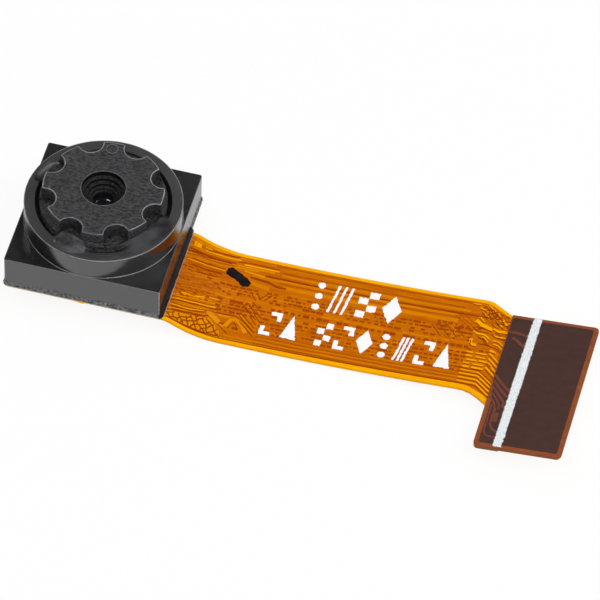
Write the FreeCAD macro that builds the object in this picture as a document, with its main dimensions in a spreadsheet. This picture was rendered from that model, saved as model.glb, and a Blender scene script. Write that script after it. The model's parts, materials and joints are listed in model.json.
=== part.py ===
import FreeCAD, Part
import Sketcher
import math
import os
import re

# Compact camera module: a screwed and glued lens barrel in a square holder,
# an image sensor under it, and a formed flexible circuit with a contact tongue.
# Millimetres and degrees. The origin is on the optical axis, on the surface
# that the module rests on. +X runs along the flexible circuit, +Z looks out of the lens.

sizes = {
    # image sensor on its solder balls
    "ball_pitch": 0.9,
    "ball_radius": 0.16,
    "ball_height": 0.2,
    "land_radius": 0.15,
    "sensor_length": 4.8,
    "sensor_width": 4.6,
    "die_thickness": 0.2,
    "dam_thickness": 0.04,
    "dam_wall": 0.45,
    "sensor_glass": 0.4,
    # chip capacitors beside it
    "chip_gap": 0.15,
    "chip_length": 1.0,
    "chip_width": 0.5,
    "chip_end": 0.25,
    "chip_step": 0.02,
    "chip_spread": 1.3,
    # lens holder, built outwards from the sensor and its capacitors
    "land_margin": 0.05,
    "film_seat": 0.1,
    "holder_wall": 0.8,
    "base_height": 1.85,
    "base_corner": 0.12,
    "base_edge": 0.03,
    "cavity_corner": 0.4,
    "web_thickness": 0.3,
    "window_radius": 2.3,
    "thread_clearance": 0.03,
    "bore_lead": 0.21,
    "collar_wall": 0.75,
    "collar_height": 1.25,
    "rim_edge": 0.05,
    # infrared filter, hung under the holder's web
    "sensor_gap": 0.2,
    "filter_margin": 0.4,
    "filter_thickness": 0.3,
    "filter_bond": 0.02,
    # flexible circuit, layer by layer
    "coverlay": 0.03,
    "copper": 0.02,
    "base_film": 0.05,
    # plan of the flexible circuit
    "pad_corner": 0.15,
    "neck_top": 1.8,
    "neck_length": 16.8,
    "neck_fillet": 0.9,
    "root_fillet": 0.1,
    "chamfer_run": 1.2,
    "chamfer_drop": 0.75,
    "flare_run": 1.1,
    "flare_drop": 0.75,
    "flare_radius": 1.8,
    "flare_corner": 0.3,
    "tongue_length": 4.4,
    "tongue_margin": 0.325,
    "tongue_corner": 0.25,
    # side view of the flexible circuit: down from the pad to the floor, then gently up
    "drop_angle": 27.0,
    "rise_angle": 5.5,
    "drop_radius": 1.0,
    "sag_radius": 5.0,
    "lift_radius": 150.0,
    # stiffener under the pad
    "plate_inset": 0.7,
    "plate_thickness": 0.8,
    "plate_corner": 0.3,
    "plate_adhesive": 0.05,
    # contact tongue and the vias that lead to it
    "tongue_plate": 0.1,
    "contact_pitch": 0.5,
    "contact_width": 0.35,
    "contact_lap": 0.45,
    "contact_end_margin": 0.25,
    "via_lead": 0.2,
    "via_radius": 0.08,
    # signal traces
    "trace_width": 0.08,
    "trace_margin": 0.475,
    "trace_turn_angle": 40.0,
    "throat_place": 0.05,
    "throat_margin": 0.2,
    "fan_angle": 72.8,
    "copper_margin": 0.28,
    # glue under and round the holder
    "glue_line": 0.03,
    "glue_bead": 0.08,
    "glue_height": 0.28,
    # lens barrel, outside
    "focus_gap": 0.15,
    "barrel_radius": 3.18,
    "barrel_foot": 0.1,
    "barrel_skirt": 0.1,
    "shoulder_step": 0.13,
    "shoulder_start": 0.58,
    "shoulder_end": 0.8,
    "head_edge": 0.07,
    "notch_count": 8,
    "notch_angle": 27.6,
    "notch_radius": 0.62,
    "notch_flare": 0.06,
    "notch_depth": 0.85,
    "mark_angle": 96.3,
    "mark_inset": 0.44,
    "mark_radius": 0.29,
    "mark_depth": 0.03,
    # lens barrel, stepped hood in front of the opening
    "opening_radius": 0.53,
    "opening_wall": 0.1,
    "ledge_slope": 0.06,
    "hood_edge": 0.04,
    "hood_wall_one": 0.3,
    "hood_wall_two": 0.16,
    "hood_wall_three": 0.12,
    "hood_wall_four": 0.08,
    "hood_step_one": 0.17,
    "hood_step_two": 0.15,
    "hood_step_three": 0.15,
    "hood_step_four": 0.1,
    # lens barrel, stepped seats behind the opening, and the optical stack in them
    "seat_radius": 1.5,
    "seat_step": 0.35,
    "lens_clearance": 0.02,
    "front_flange": 0.3,
    "front_dome": 0.08,
    "front_hollow": 0.08,
    "front_hollow_radius": 0.6,
    "stop_thickness": 0.03,
    "stop_opening": 0.55,
    "middle_flange": 0.3,
    "middle_hollow": 0.05,
    "middle_hollow_radius": 0.7,
    "middle_dome": 0.03,
    "middle_dome_radius": 1.0,
    "spacer_thickness": 0.1,
    "spacer_wall": 0.48,
    "rear_flange": 0.32,
    "rear_dome": 0.05,
    "rear_hollow": 0.1,
    "rear_hollow_radius": 1.2,
    "retainer_thickness": 0.15,
    "retainer_wall": 0.58,
    # glue that locks the barrel in the holder
    "thread_glue_gap": 0.01,
    "left_glue_gap": 0.06,
    "left_glue_height": 0.5,
    "front_glue_start": 239.0,
    "front_glue_span": 36.0,
    "front_glue_foot": 0.57,
    "front_glue_top": 0.17,
    "front_glue_height": 0.5,
    "right_glue_start": 303.0,
    "right_glue_span": 54.0,
    "right_glue_foot": 0.72,
    "right_glue_top": 0.22,
    "right_glue_height": 0.6,
}

doc = FreeCAD.newDocument("camera_module")
sheet = doc.addObject("Spreadsheet::Sheet", "Sizes")
for row, (alias, value) in enumerate(sizes.items(), start=1):
    sheet.set(f"A{row}", alias)
    sheet.set(f"B{row}", str(value))
    sheet.setAlias(f"B{row}", alias)
doc.recompute()

CONTACTS = 16
BALLS_A_SIDE = 5
OVERRUN = 1.0  # how far cutting shapes run past what they cut
SAME = 1e-6  # lengths closer than this are the same

# Sums of the driving dimensions that several pieces share. Heights first, from the floor up.
PAD_BOTTOM = "plate_thickness + plate_adhesive"
LAND_LOW = PAD_BOTTOM + " + coverlay + copper + base_film"
LAND_HIGH = LAND_LOW + " + copper"
PAD_TOP = LAND_HIGH + " + coverlay"
HOLDER_LOW = PAD_TOP + " + glue_line"
DIE_LOW = LAND_HIGH + " + ball_height"
DAM_LOW = DIE_LOW + " + die_thickness"
GLASS_LOW = DAM_LOW + " + dam_thickness"
FILTER_LOW = GLASS_LOW + " + sensor_glass + sensor_gap"
BOND_LOW = FILTER_LOW + " + filter_thickness"
WEB_LOW = BOND_LOW + " + filter_bond"
WEB_HIGH = WEB_LOW + " + web_thickness"
BASE_TOP = HOLDER_LOW + " + base_height"
RIM_TOP = BASE_TOP + " + collar_height"
BARREL_LOW = WEB_HIGH + " + focus_gap"
RETAINER_LOW = BARREL_LOW + " + barrel_skirt"
RETAINER_TOP = RETAINER_LOW + " + retainer_thickness"
REAR_TOP = RETAINER_TOP + " + rear_flange"
SPACER_TOP = REAR_TOP + " + spacer_thickness"
MIDDLE_TOP = SPACER_TOP + " + middle_flange"
STOP_TOP = MIDDLE_TOP + " + stop_thickness"
FRONT_TOP = STOP_TOP + " + front_flange"
HOOD_FOUR = FRONT_TOP + " + opening_wall"
HOOD_THREE = HOOD_FOUR + " + ledge_slope + hood_wall_four"
HOOD_TWO = HOOD_THREE + " + ledge_slope + hood_wall_three"
HOOD_ONE = HOOD_TWO + " + ledge_slope + hood_wall_two"
BARREL_TOP = HOOD_ONE + " + ledge_slope + hood_wall_one"

# Half widths and radii, from the inside out.
WINDOW_HALF = "0.5*sensor_length + chip_gap + chip_width + land_margin"
CAVITY_HALF = WINDOW_HALF + " + film_seat"
BASE_HALF = CAVITY_HALF + " + holder_wall"
FILTER_HALF = CAVITY_HALF + " - filter_margin"
PLATE_HALF = BASE_HALF + " - plate_inset"
BORE_RADIUS = "barrel_radius + thread_clearance"
COLLAR_RADIUS = BORE_RADIUS + " + collar_wall"
HEAD_RADIUS = "barrel_radius - shoulder_step"
SEAT_TWO = "seat_radius + seat_step"
SEAT_THREE = SEAT_TWO + " + seat_step"
SPACER_OPENING = SEAT_TWO + " - lens_clearance - spacer_wall"
CHIP_PLACE = "0.5*sensor_length + chip_gap + 0.5*chip_width"

# Heights of the film layers above the underside of the flexible circuit.
BOTTOM_COPPER = "coverlay"
FILM_LOW = "coverlay + copper"
FILM_HIGH = FILM_LOW + " + base_film"
COVER_LOW = FILM_HIGH + " + copper"
COVER_HIGH = COVER_LOW + " + coverlay"

# Places along the flexible circuit and across it.
TONGUE_START = BASE_HALF + " + neck_length"
TONGUE_END = TONGUE_START + " + tongue_length"
TONGUE_TOP = "neck_top - chamfer_drop"
TONGUE_WIDTH = f"{CONTACTS - 1}*contact_pitch + contact_width + 2*tongue_margin"


def scaled(factor, text):
    # The sum with each of its terms multiplied.
    terms = text.replace(" - ", " + -1*").split(" + ")
    return " + ".join(f"{factor}*{term}" for term in terms)


def minus(text):
    return scaled(-1, text)


# Depth of the holder's cavity from below, and of its bore from above.
CAVITY_DEPTH = (
    "ball_height + die_thickness + dam_thickness + sensor_glass + sensor_gap"
    " + filter_thickness + filter_bond - coverlay - glue_line")
BORE_DEPTH = "base_height + collar_height - web_thickness + " + minus(CAVITY_DEPTH)


def number(text):
    # Value of a sum of products, such as "0.5*sensor_length - dam_wall".
    total = 0.0
    for term in text.replace(" - ", " + -1*").split(" + "):
        product = 1.0
        for factor in term.split("*"):
            product *= float(sheet.get(factor)) if factor in sizes else float(factor)
        total += product
    return total


def formula(text):
    # The same sum as an expression on the sheet's cells.
    return re.sub(r"[a-z]\w*", r"Sizes.\g<0>", text)


def bind(item, settings):
    for name, text in settings.items():
        item.setExpression(name, formula(text))


def primitive(kind, name, settings):
    item = doc.addObject(kind, name)
    bind(item, settings)
    return item


def box(name, corner, spans):
    return primitive("Part::Box", name, {
        "Placement.Base.x": corner[0],
        "Placement.Base.y": corner[1],
        "Placement.Base.z": corner[2],
        "Length": spans[0],
        "Width": spans[1],
        "Height": spans[2],
    })


def square_box(name, half, low, height):
    corner = minus(half)
    side = scaled(2, half)
    return box(name, (corner, corner, low), (side, side, height))


def cut(name, base, tool):
    item = doc.addObject("Part::Cut", name)
    item.Base = base
    item.Tool = tool
    return item


def fuse(name, pieces):
    item = doc.addObject("Part::MultiFuse", name)
    item.Shapes = pieces
    return item


def upright_edges(shape):
    found = []
    for index, edge in enumerate(shape.Edges, start=1):
        bounds = edge.BoundBox
        if bounds.XLength < SAME and bounds.YLength < SAME:
            found.append(index)
    return found


def rounded(name, base, radius):
    doc.recompute()
    item = doc.addObject("Part::Fillet", name)
    item.Base = base
    size = number(radius)
    item.Edges = [(index, size, size) for index in upright_edges(base.Shape)]
    return item


def new_body(name):
    body = doc.addObject("PartDesign::Body", name)
    body.Label = name
    return body


def sketch_on(body, name, role, height=None):
    sketch = body.newObject("Sketcher::SketchObject", name)
    plane = next(item for item in body.Origin.OriginFeatures if item.Role == role)
    sketch.AttachmentSupport = [(plane, "")]
    sketch.MapMode = "FlatFace"
    if height:
        bind(sketch, {"AttachmentOffset.Base.z": height})
    return sketch


def hold(sketch, kind, geometry, point, text):
    # One coordinate of a sketch point, or its place on an axis where the text is "0".
    if text == "0":
        axis = -2 if kind == "DistanceX" else -1
        sketch.addConstraint(Sketcher.Constraint("PointOnObject", geometry, point, axis))
        return
    value = number(text)
    index = sketch.addConstraint(Sketcher.Constraint(kind, -1, 1, geometry, point, value))
    sketch.setExpression(f"Constraints[{index}]", formula(text))


def end_near(sketch, geometry, place):
    start = sketch.Geometry[geometry].StartPoint
    end = sketch.Geometry[geometry].EndPoint
    return 1 if start.distanceToPoint(place) < end.distanceToPoint(place) else 2


def add_outline(sketch, corners, domes=None):
    # Closed outline through the corners. An edge listed in domes is an arc that has its
    # centre on the vertical axis and bulges up for 1 or down for -1.
    domes = domes or {}
    first = len(sketch.Geometry)
    places = [FreeCAD.Vector(number(x), number(y), 0) for x, y in corners]
    count = len(corners)
    for i in range(count):
        begin = places[i]
        end = places[(i + 1) % count]
        if i in domes:
            sag = abs(end.y - begin.y)
            span = max(begin.x, end.x)
            radius = (span * span + sag * sag) / (2 * sag)
            apex, rim = sorted((begin, end), key=lambda place: place.x)
            centre = apex.y - domes[i] * radius
            angle = math.asin(span / radius) / 2
            middle = FreeCAD.Vector(
                radius * math.sin(angle), centre + domes[i] * radius * math.cos(angle), 0)
            first_end, last_end = (rim, apex) if domes[i] > 0 else (apex, rim)
            sketch.addGeometry(Part.Arc(first_end, middle, last_end), False)
        else:
            sketch.addGeometry(Part.LineSegment(begin, end), False)
    for i in range(count):
        here = first + i
        before = first + (i - 1) % count
        point = end_near(sketch, here, places[i])
        other = end_near(sketch, before, places[i])
        sketch.addConstraint(Sketcher.Constraint("Coincident", before, other, here, point))
        hold(sketch, "DistanceX", here, point, corners[i][0])
        hold(sketch, "DistanceY", here, point, corners[i][1])
        if i in domes:
            sketch.addConstraint(Sketcher.Constraint("PointOnObject", here, 3, -2))


def add_circle(sketch, radius, x="0", y="0"):
    centre = FreeCAD.Vector(number(x), number(y), 0)
    circle = Part.Circle(centre, FreeCAD.Vector(0, 0, 1), number(radius))
    geometry = sketch.addGeometry(circle, False)
    hold(sketch, "DistanceX", geometry, 3, x)
    hold(sketch, "DistanceY", geometry, 3, y)
    index = sketch.addConstraint(Sketcher.Constraint("Radius", geometry, number(radius)))
    sketch.setExpression(f"Constraints[{index}]", formula(radius))


def square_corners(half):
    low = minus(half)
    return [(low, low), (half, low), (half, half), (low, half)]


def pad(body, sketch, length):
    feature = body.newObject("PartDesign::Pad", sketch.Name + "_pad")
    feature.Profile = sketch
    bind(feature, {"Length": length})
    return feature


def pocket(body, sketch, length, upward=False):
    feature = body.newObject("PartDesign::Pocket", sketch.Name + "_cut")
    feature.Profile = sketch
    feature.Reversed = upward
    bind(feature, {"Length": length})
    return feature


def edge_names(shape, test):
    return [f"Edge{i}" for i, edge in enumerate(shape.Edges, start=1) if test(edge)]


def level(height):
    # A test for edges that lie flat at one height.
    def test(edge):
        bounds = edge.BoundBox
        return abs(bounds.ZMin - height) < SAME and bounds.ZLength < SAME
    return test


def dressed(body, kind, name, base, edges, setting, size):
    feature = body.newObject(kind, name)
    feature.Base = (base, edges)
    bind(feature, {setting: size})
    doc.recompute()
    return feature


def turned(name, corners, domes=None):
    # A piece turned about the optical axis from a half section.
    body = new_body(name)
    sketch = sketch_on(body, name + "_section", "XZ_Plane")
    add_outline(sketch, corners, domes)
    feature = body.newObject("PartDesign::Revolution", name + "_turn")
    feature.Profile = sketch
    feature.ReferenceAxis = (sketch, ["V_Axis"])
    feature.Angle = 360
    return body


def ring(name, inner, outer, top, low):
    return turned(name, [(inner, low), (outer, low), (outer, top), (inner, top)])


# Lens holder: one black moulding, square base, round collar, threaded bore.
def lens_holder():
    body = new_body("lens_holder")
    base = sketch_on(body, "holder_base", "XY_Plane", HOLDER_LOW)
    add_outline(base, square_corners(BASE_HALF))
    block = pad(body, base, "base_height")
    doc.recompute()
    corners = dressed(
        body, "PartDesign::Fillet", "holder_corners", block,
        [f"Edge{i}" for i in upright_edges(block.Shape)], "Radius", "base_corner")
    dressed(
        body, "PartDesign::Chamfer", "holder_top_edge", corners,
        edge_names(corners.Shape, level(number(BASE_TOP))), "Size", "base_edge")
    cavity = sketch_on(body, "holder_cavity", "XY_Plane", HOLDER_LOW)
    add_outline(cavity, square_corners(CAVITY_HALF))
    hollow = pocket(body, cavity, CAVITY_DEPTH, upward=True)
    doc.recompute()
    inside = [
        f"Edge{i}" for i in upright_edges(hollow.Shape)
        if abs(hollow.Shape.Edges[i - 1].BoundBox.XMin) < number(CAVITY_HALF) + SAME]
    dressed(
        body, "PartDesign::Fillet", "holder_cavity_corners", hollow,
        inside, "Radius", "cavity_corner")
    collar = sketch_on(body, "holder_collar", "XY_Plane", BASE_TOP)
    add_circle(collar, COLLAR_RADIUS)
    collar_block = pad(body, collar, "collar_height")
    doc.recompute()
    dressed(
        body, "PartDesign::Chamfer", "holder_rim_edge", collar_block,
        edge_names(collar_block.Shape, level(number(RIM_TOP))), "Size", "rim_edge")
    bore = sketch_on(body, "holder_bore", "XY_Plane", RIM_TOP)
    add_circle(bore, BORE_RADIUS)
    pocket(body, bore, BORE_DEPTH)
    window = sketch_on(body, "holder_window", "XY_Plane", WEB_HIGH)
    add_circle(window, "window_radius")
    opening = pocket(body, window, "web_thickness")
    doc.recompute()
    bore_edge = edge_names(
        opening.Shape,
        lambda edge: level(number(RIM_TOP))(edge)
        and edge.Curve.Radius < number(BORE_RADIUS) + SAME)
    dressed(
        body, "PartDesign::Chamfer", "holder_bore_lead", opening, bore_edge, "Size", "bore_lead")


# Lens barrel: turned form with a stepped hood, a stepped bore for the lenses, and
# scalloped notches round the head for the focusing tool.
def lens_barrel():
    radius = "opening_radius + hood_step_four"
    hood = [("opening_radius", FRONT_TOP), ("opening_radius", HOOD_FOUR)]
    walls = [
        ("hood_step_three", HOOD_FOUR, HOOD_THREE),
        ("hood_step_two", HOOD_THREE, HOOD_TWO),
        ("hood_step_one", HOOD_TWO, HOOD_ONE),
    ]
    for step, low, high in walls:
        hood += [(radius, low + " + ledge_slope"), (radius, high)]
        radius += " + " + step
    hood += [
        (radius, HOOD_ONE + " + ledge_slope"),
        (radius, BARREL_TOP + " - hood_edge"),
        (radius + " + hood_edge", BARREL_TOP),
    ]
    body = turned("lens_barrel", hood + [
        (HEAD_RADIUS + " - head_edge", BARREL_TOP),
        (HEAD_RADIUS, BARREL_TOP + " - head_edge"),
        (HEAD_RADIUS, BARREL_TOP + " - shoulder_start"),
        ("barrel_radius", BARREL_TOP + " - shoulder_end"),
        ("barrel_radius", BARREL_LOW + " + barrel_foot"),
        ("barrel_radius - barrel_foot", BARREL_LOW),
        (SEAT_THREE, BARREL_LOW),
        (SEAT_THREE, REAR_TOP),
        (SEAT_TWO, REAR_TOP),
        (SEAT_TWO, MIDDLE_TOP),
        ("seat_radius", MIDDLE_TOP),
        ("seat_radius", FRONT_TOP),
    ])
    mark = sketch_on(body, "barrel_mark", "XY_Plane", BARREL_TOP)
    add_marked_circle(mark)
    pocket(body, mark, "mark_depth")
    notch = sketch_on(body, "barrel_notch", "XZ_Plane")
    side = HEAD_RADIUS + " + notch_radius"
    over = BARREL_TOP + " + notch_flare"
    add_outline(notch, [
        (HEAD_RADIUS, BARREL_TOP + " - notch_depth"),
        (side, BARREL_TOP + " - notch_depth"),
        (side, BARREL_TOP + " - notch_flare"),
        (side + " + 2*notch_flare", over),
        (HEAD_RADIUS, over),
    ])
    axis = notch.addGeometry(Part.LineSegment(
        FreeCAD.Vector(number(HEAD_RADIUS), number(BARREL_LOW), 0),
        FreeCAD.Vector(number(HEAD_RADIUS), number(BARREL_TOP), 0)), True)
    hold(notch, "DistanceX", axis, 1, HEAD_RADIUS)
    hold(notch, "DistanceY", axis, 1, BARREL_LOW)
    hold(notch, "DistanceX", axis, 2, HEAD_RADIUS)
    hold(notch, "DistanceY", axis, 2, BARREL_TOP)
    groove = body.newObject("PartDesign::Groove", "barrel_notch_cut")
    groove.Profile = notch
    groove.ReferenceAxis = (notch, ["Axis0"])
    groove.Angle = 360
    doc.recompute()
    pattern = body.newObject("PartDesign::PolarPattern", "barrel_notches")
    pattern.Originals = [groove]
    pattern.Axis = (notch, ["V_Axis"])
    pattern.Angle = 360
    bind(pattern, {"Occurrences": "notch_count"})
    body.Tip = pattern
    body.Placement.Rotation = FreeCAD.Rotation(FreeCAD.Vector(0, 0, 1), number("notch_angle"))


def add_marked_circle(sketch):
    # The moulding mark's circle, held by its distance from the axis and its bearing.
    distance = HEAD_RADIUS + " - mark_inset"
    bearing = math.radians(number("mark_angle - notch_angle"))
    reach = number(distance)
    centre = FreeCAD.Vector(reach * math.cos(bearing), reach * math.sin(bearing), 0)
    circle = Part.Circle(centre, FreeCAD.Vector(0, 0, 1), number("mark_radius"))
    geometry = sketch.addGeometry(circle, False)
    turn = "(Sizes.mark_angle - Sizes.notch_angle) * 1 deg"
    places = (("DistanceX", centre.x, "cos"), ("DistanceY", centre.y, "sin"))
    for kind, value, part in places:
        index = sketch.addConstraint(Sketcher.Constraint(kind, -1, 1, geometry, 3, value))
        sketch.setExpression(f"Constraints[{index}]", f"({formula(distance)}) * {part}({turn})")
    index = sketch.addConstraint(Sketcher.Constraint("Radius", geometry, number("mark_radius")))
    sketch.setExpression(f"Constraints[{index}]", formula("mark_radius"))


# Optical stack, front to back, each piece resting on the next.
def optical_stack():
    turned("front_lens", [
        ("0", FRONT_TOP + " + front_dome"),
        ("opening_radius - lens_clearance", FRONT_TOP),
        ("seat_radius - lens_clearance", FRONT_TOP),
        ("seat_radius - lens_clearance", STOP_TOP),
        ("front_hollow_radius", STOP_TOP),
        ("0", STOP_TOP + " + front_hollow"),
    ], {0: 1, 4: 1})
    ring("aperture_stop", "stop_opening", "seat_radius - lens_clearance", STOP_TOP, MIDDLE_TOP)
    turned("middle_lens", [
        ("0", MIDDLE_TOP + " - middle_hollow"),
        ("middle_hollow_radius", MIDDLE_TOP),
        (SEAT_TWO + " - lens_clearance", MIDDLE_TOP),
        (SEAT_TWO + " - lens_clearance", SPACER_TOP),
        ("middle_dome_radius", SPACER_TOP),
        ("0", SPACER_TOP + " - middle_dome"),
    ], {0: -1, 4: -1})
    ring("lens_spacer", SPACER_OPENING, SEAT_TWO + " - lens_clearance", SPACER_TOP, REAR_TOP)
    turned("rear_lens", [
        ("0", REAR_TOP + " + rear_dome"),
        (SPACER_OPENING + " - lens_clearance", REAR_TOP),
        (SEAT_THREE + " - lens_clearance", REAR_TOP),
        (SEAT_THREE + " - lens_clearance", RETAINER_TOP),
        ("rear_hollow_radius", RETAINER_TOP),
        ("0", RETAINER_TOP + " + rear_hollow"),
    ], {0: 1, 4: 1})
    outer = SEAT_THREE + " - lens_clearance"
    ring("lens_retainer", outer + " - retainer_wall", outer, RETAINER_TOP, RETAINER_LOW)


# Infrared filter and the line of bond that hangs it under the web.
def infrared_filter():
    square_box("infrared_filter", FILTER_HALF, FILTER_LOW, "filter_thickness")
    layer = square_box("bond_sheet", FILTER_HALF, BOND_LOW, "filter_bond")
    hole = primitive("Part::Cylinder", "bond_hole", {
        "Radius": "window_radius",
        "Height": "filter_bond",
        "Placement.Base.z": BOND_LOW,
    })
    cut("filter_bond_line", layer, hole)


# Image sensor: die on solder balls, a low dam round it, and a cover glass.
def image_sensor():
    corner = ("-0.5*sensor_length", "-0.5*sensor_width")
    box("image_sensor_die", (*corner, DIE_LOW), ("sensor_length", "sensor_width", "die_thickness"))
    outer = box("dam_block", (*corner, DAM_LOW), ("sensor_length", "sensor_width", "dam_thickness"))
    inner = box(
        "dam_opening",
        ("dam_wall - 0.5*sensor_length", "dam_wall - 0.5*sensor_width", DAM_LOW),
        ("sensor_length - 2*dam_wall", "sensor_width - 2*dam_wall", "dam_thickness"))
    cut("sensor_dam", outer, inner)
    box("sensor_cover_glass", (*corner, GLASS_LOW), ("sensor_length", "sensor_width", "sensor_glass"))
    balls = []
    for row in range(BALLS_A_SIDE):
        for line in range(BALLS_A_SIDE):
            balls.append(solder_ball(row, line))
    group = doc.addObject("Part::Compound", "sensor_solder_balls")
    group.Links = balls


def ball_place(step):
    return f"{step - (BALLS_A_SIDE - 1) // 2}*ball_pitch"


def solder_ball(row, line):
    tag = f"{row + 1}_{line + 1}"
    place = {"Placement.Base.x": ball_place(row), "Placement.Base.y": ball_place(line)}
    ball = primitive("Part::Sphere", "ball_" + tag, {
        **place,
        "Radius": "ball_radius",
        "Placement.Base.z": LAND_HIGH + " + 0.5*ball_height",
    })
    slice_of_ball = primitive("Part::Cylinder", "ball_slice_" + tag, {
        **place,
        "Radius": "2*ball_radius",
        "Height": "ball_height",
        "Placement.Base.z": LAND_HIGH,
    })
    flattened = doc.addObject("Part::Common", "solder_ball_" + tag)
    flattened.Base = ball
    flattened.Tool = slice_of_ball
    return flattened


# Chip capacitors beside the sensor: a ceramic block with a thicker metal cap at each end.
def chip_capacitor(index, x, y):
    low_x = f"{x} - 0.5*chip_width"
    low_y = f"{y} - 0.5*chip_length"
    block = box(
        f"chip_block_{index}", (low_x + " + chip_step", low_y, LAND_HIGH + " + chip_step"),
        ("chip_width - 2*chip_step", "chip_length", "chip_width - 2*chip_step"))
    caps = [
        box(f"chip_cap_{index}_{name}", (low_x, place, LAND_HIGH),
            ("chip_width", "chip_end", "chip_width"))
        for name, place in (("near", low_y), ("far", low_y + " + chip_length - chip_end"))]
    fuse(f"chip_capacitor_{index}", [block] + caps)


CHIP_PLACES = [
    (CHIP_PLACE, "chip_spread"),
    (CHIP_PLACE, "-1*chip_spread"),
    (minus(CHIP_PLACE), "chip_spread"),
    (minus(CHIP_PLACE), "-1*chip_spread"),
]


# Black glue: a thin line under the holder's wall and a bead round its foot.
def holder_glue():
    outer = square_box("glue_block", BASE_HALF + " + glue_bead", PAD_TOP, "glue_height")
    hole = square_box("glue_hole", CAVITY_HALF, PAD_TOP, "glue_height")
    seat = square_box("glue_seat", BASE_HALF, HOLDER_LOW, "glue_height")
    cut("holder_glue", outer, fuse("glue_room", [hole, seat]))


# Glue on the thread: a plug in one notch and two fillets between barrel and rim.
def thread_glue():
    floor = BARREL_TOP + " - notch_depth"
    plug = primitive("Part::Cylinder", "thread_glue_left", {
        "Radius": "notch_radius - left_glue_gap",
        "Height": "left_glue_height",
        "Placement.Base.z": floor,
    })
    bearing = "(Sizes.notch_angle + 135) * 1 deg"
    plug.setExpression("Placement.Base.x", f"({formula(HEAD_RADIUS)}) * cos({bearing})")
    plug.setExpression("Placement.Base.y", f"({formula(HEAD_RADIUS)}) * sin({bearing})")
    for name in ("front", "right"):
        outer = primitive("Part::Cone", f"glue_cone_{name}", {
            "Radius1": f"barrel_radius + {name}_glue_foot",
            "Radius2": f"barrel_radius + {name}_glue_top",
            "Height": f"{name}_glue_height",
            "Angle": f"{name}_glue_span",
            "Placement.Base.z": RIM_TOP,
            "Placement.Rotation.Angle": f"{name}_glue_start",
        })
        inner = primitive("Part::Cylinder", f"glue_core_{name}", {
            "Radius": "barrel_radius + thread_glue_gap",
            "Height": f"{name}_glue_height",
            "Placement.Base.z": RIM_TOP,
        })
        cut(f"thread_glue_{name}", outer, inner)


# Stiffener under the pad, and the adhesive that holds it.
def stiffener():
    plate = square_box("plate_block", PLATE_HALF, "0", "plate_thickness")
    rounded("pad_stiffener", plate, "plate_corner")
    bond = square_box("adhesive_block", PLATE_HALF, "plate_thickness", "plate_adhesive")
    rounded("stiffener_adhesive", bond, "plate_corner")


# Side view of the flexible circuit, and its plan.
def side_path(height):
    # Points of one film surface, height above the underside: the pad, the bend down, the
    # sag to the floor, the long lift and the tongue, with the middle of each arc.
    drop = math.radians(number("drop_angle"))
    rise = math.radians(number("rise_angle"))
    bend = number("drop_radius")
    sag = number("sag_radius")
    lift = number("lift_radius")
    half = number(BASE_HALF)
    pad_low = number(PAD_BOTTOM)
    straight = (pad_low - (bend + sag) * (1 - math.cos(drop))) / math.sin(drop)
    low_x = half + (bend + sag) * math.sin(drop) + straight * math.cos(drop)

    def on_bend(angle):
        reach = bend + height
        return FreeCAD.Vector(
            half + reach * math.sin(angle), 0, pad_low - bend + reach * math.cos(angle))

    def on_rise(radius, angle):
        # Both arcs that curve upwards touch the floor at the same place.
        reach = radius - height
        return FreeCAD.Vector(
            low_x + reach * math.sin(angle), 0, radius - reach * math.cos(angle))

    end_x = number(TONGUE_END) + OVERRUN
    last = on_rise(lift, rise)
    return {
        "start": FreeCAD.Vector(-half - OVERRUN, 0, pad_low + height),
        "bend_start": on_bend(0),
        "bend_middle": on_bend(drop / 2),
        "bend_end": on_bend(drop),
        "sag_start": on_rise(sag, -drop),
        "sag_middle": on_rise(sag, -drop / 2),
        "low_point": on_rise(sag, 0),
        "lift_middle": on_rise(lift, rise / 2),
        "lift_end": last,
        "end": FreeCAD.Vector(end_x, 0, last.z + (end_x - last.x) * math.tan(rise)),
    }


def surface_edges(path):
    return [
        Part.LineSegment(path["start"], path["bend_start"]).toShape(),
        Part.Arc(path["bend_start"], path["bend_middle"], path["bend_end"]).toShape(),
        Part.LineSegment(path["bend_end"], path["sag_start"]).toShape(),
        Part.Arc(path["sag_start"], path["sag_middle"], path["low_point"]).toShape(),
        Part.Arc(path["low_point"], path["lift_middle"], path["lift_end"]).toShape(),
        Part.LineSegment(path["lift_end"], path["end"]).toShape(),
    ]


def bent_slab(low, high):
    # A layer between two heights above the underside, wider than the whole plan.
    lower = side_path(number(low))
    upper = side_path(number(high))
    ends = [
        Part.LineSegment(lower["start"], upper["start"]).toShape(),
        Part.LineSegment(lower["end"], upper["end"]).toShape(),
    ]
    wire = Part.Wire(Part.__sortEdges__(surface_edges(lower) + surface_edges(upper) + ends))
    low_y = tongue_bottom() - OVERRUN
    high_y = number(BASE_HALF) + OVERRUN
    face = Part.Face(wire)
    face.translate(FreeCAD.Vector(0, low_y, 0))
    return face.extrude(FreeCAD.Vector(0, high_y - low_y, 0))


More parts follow.
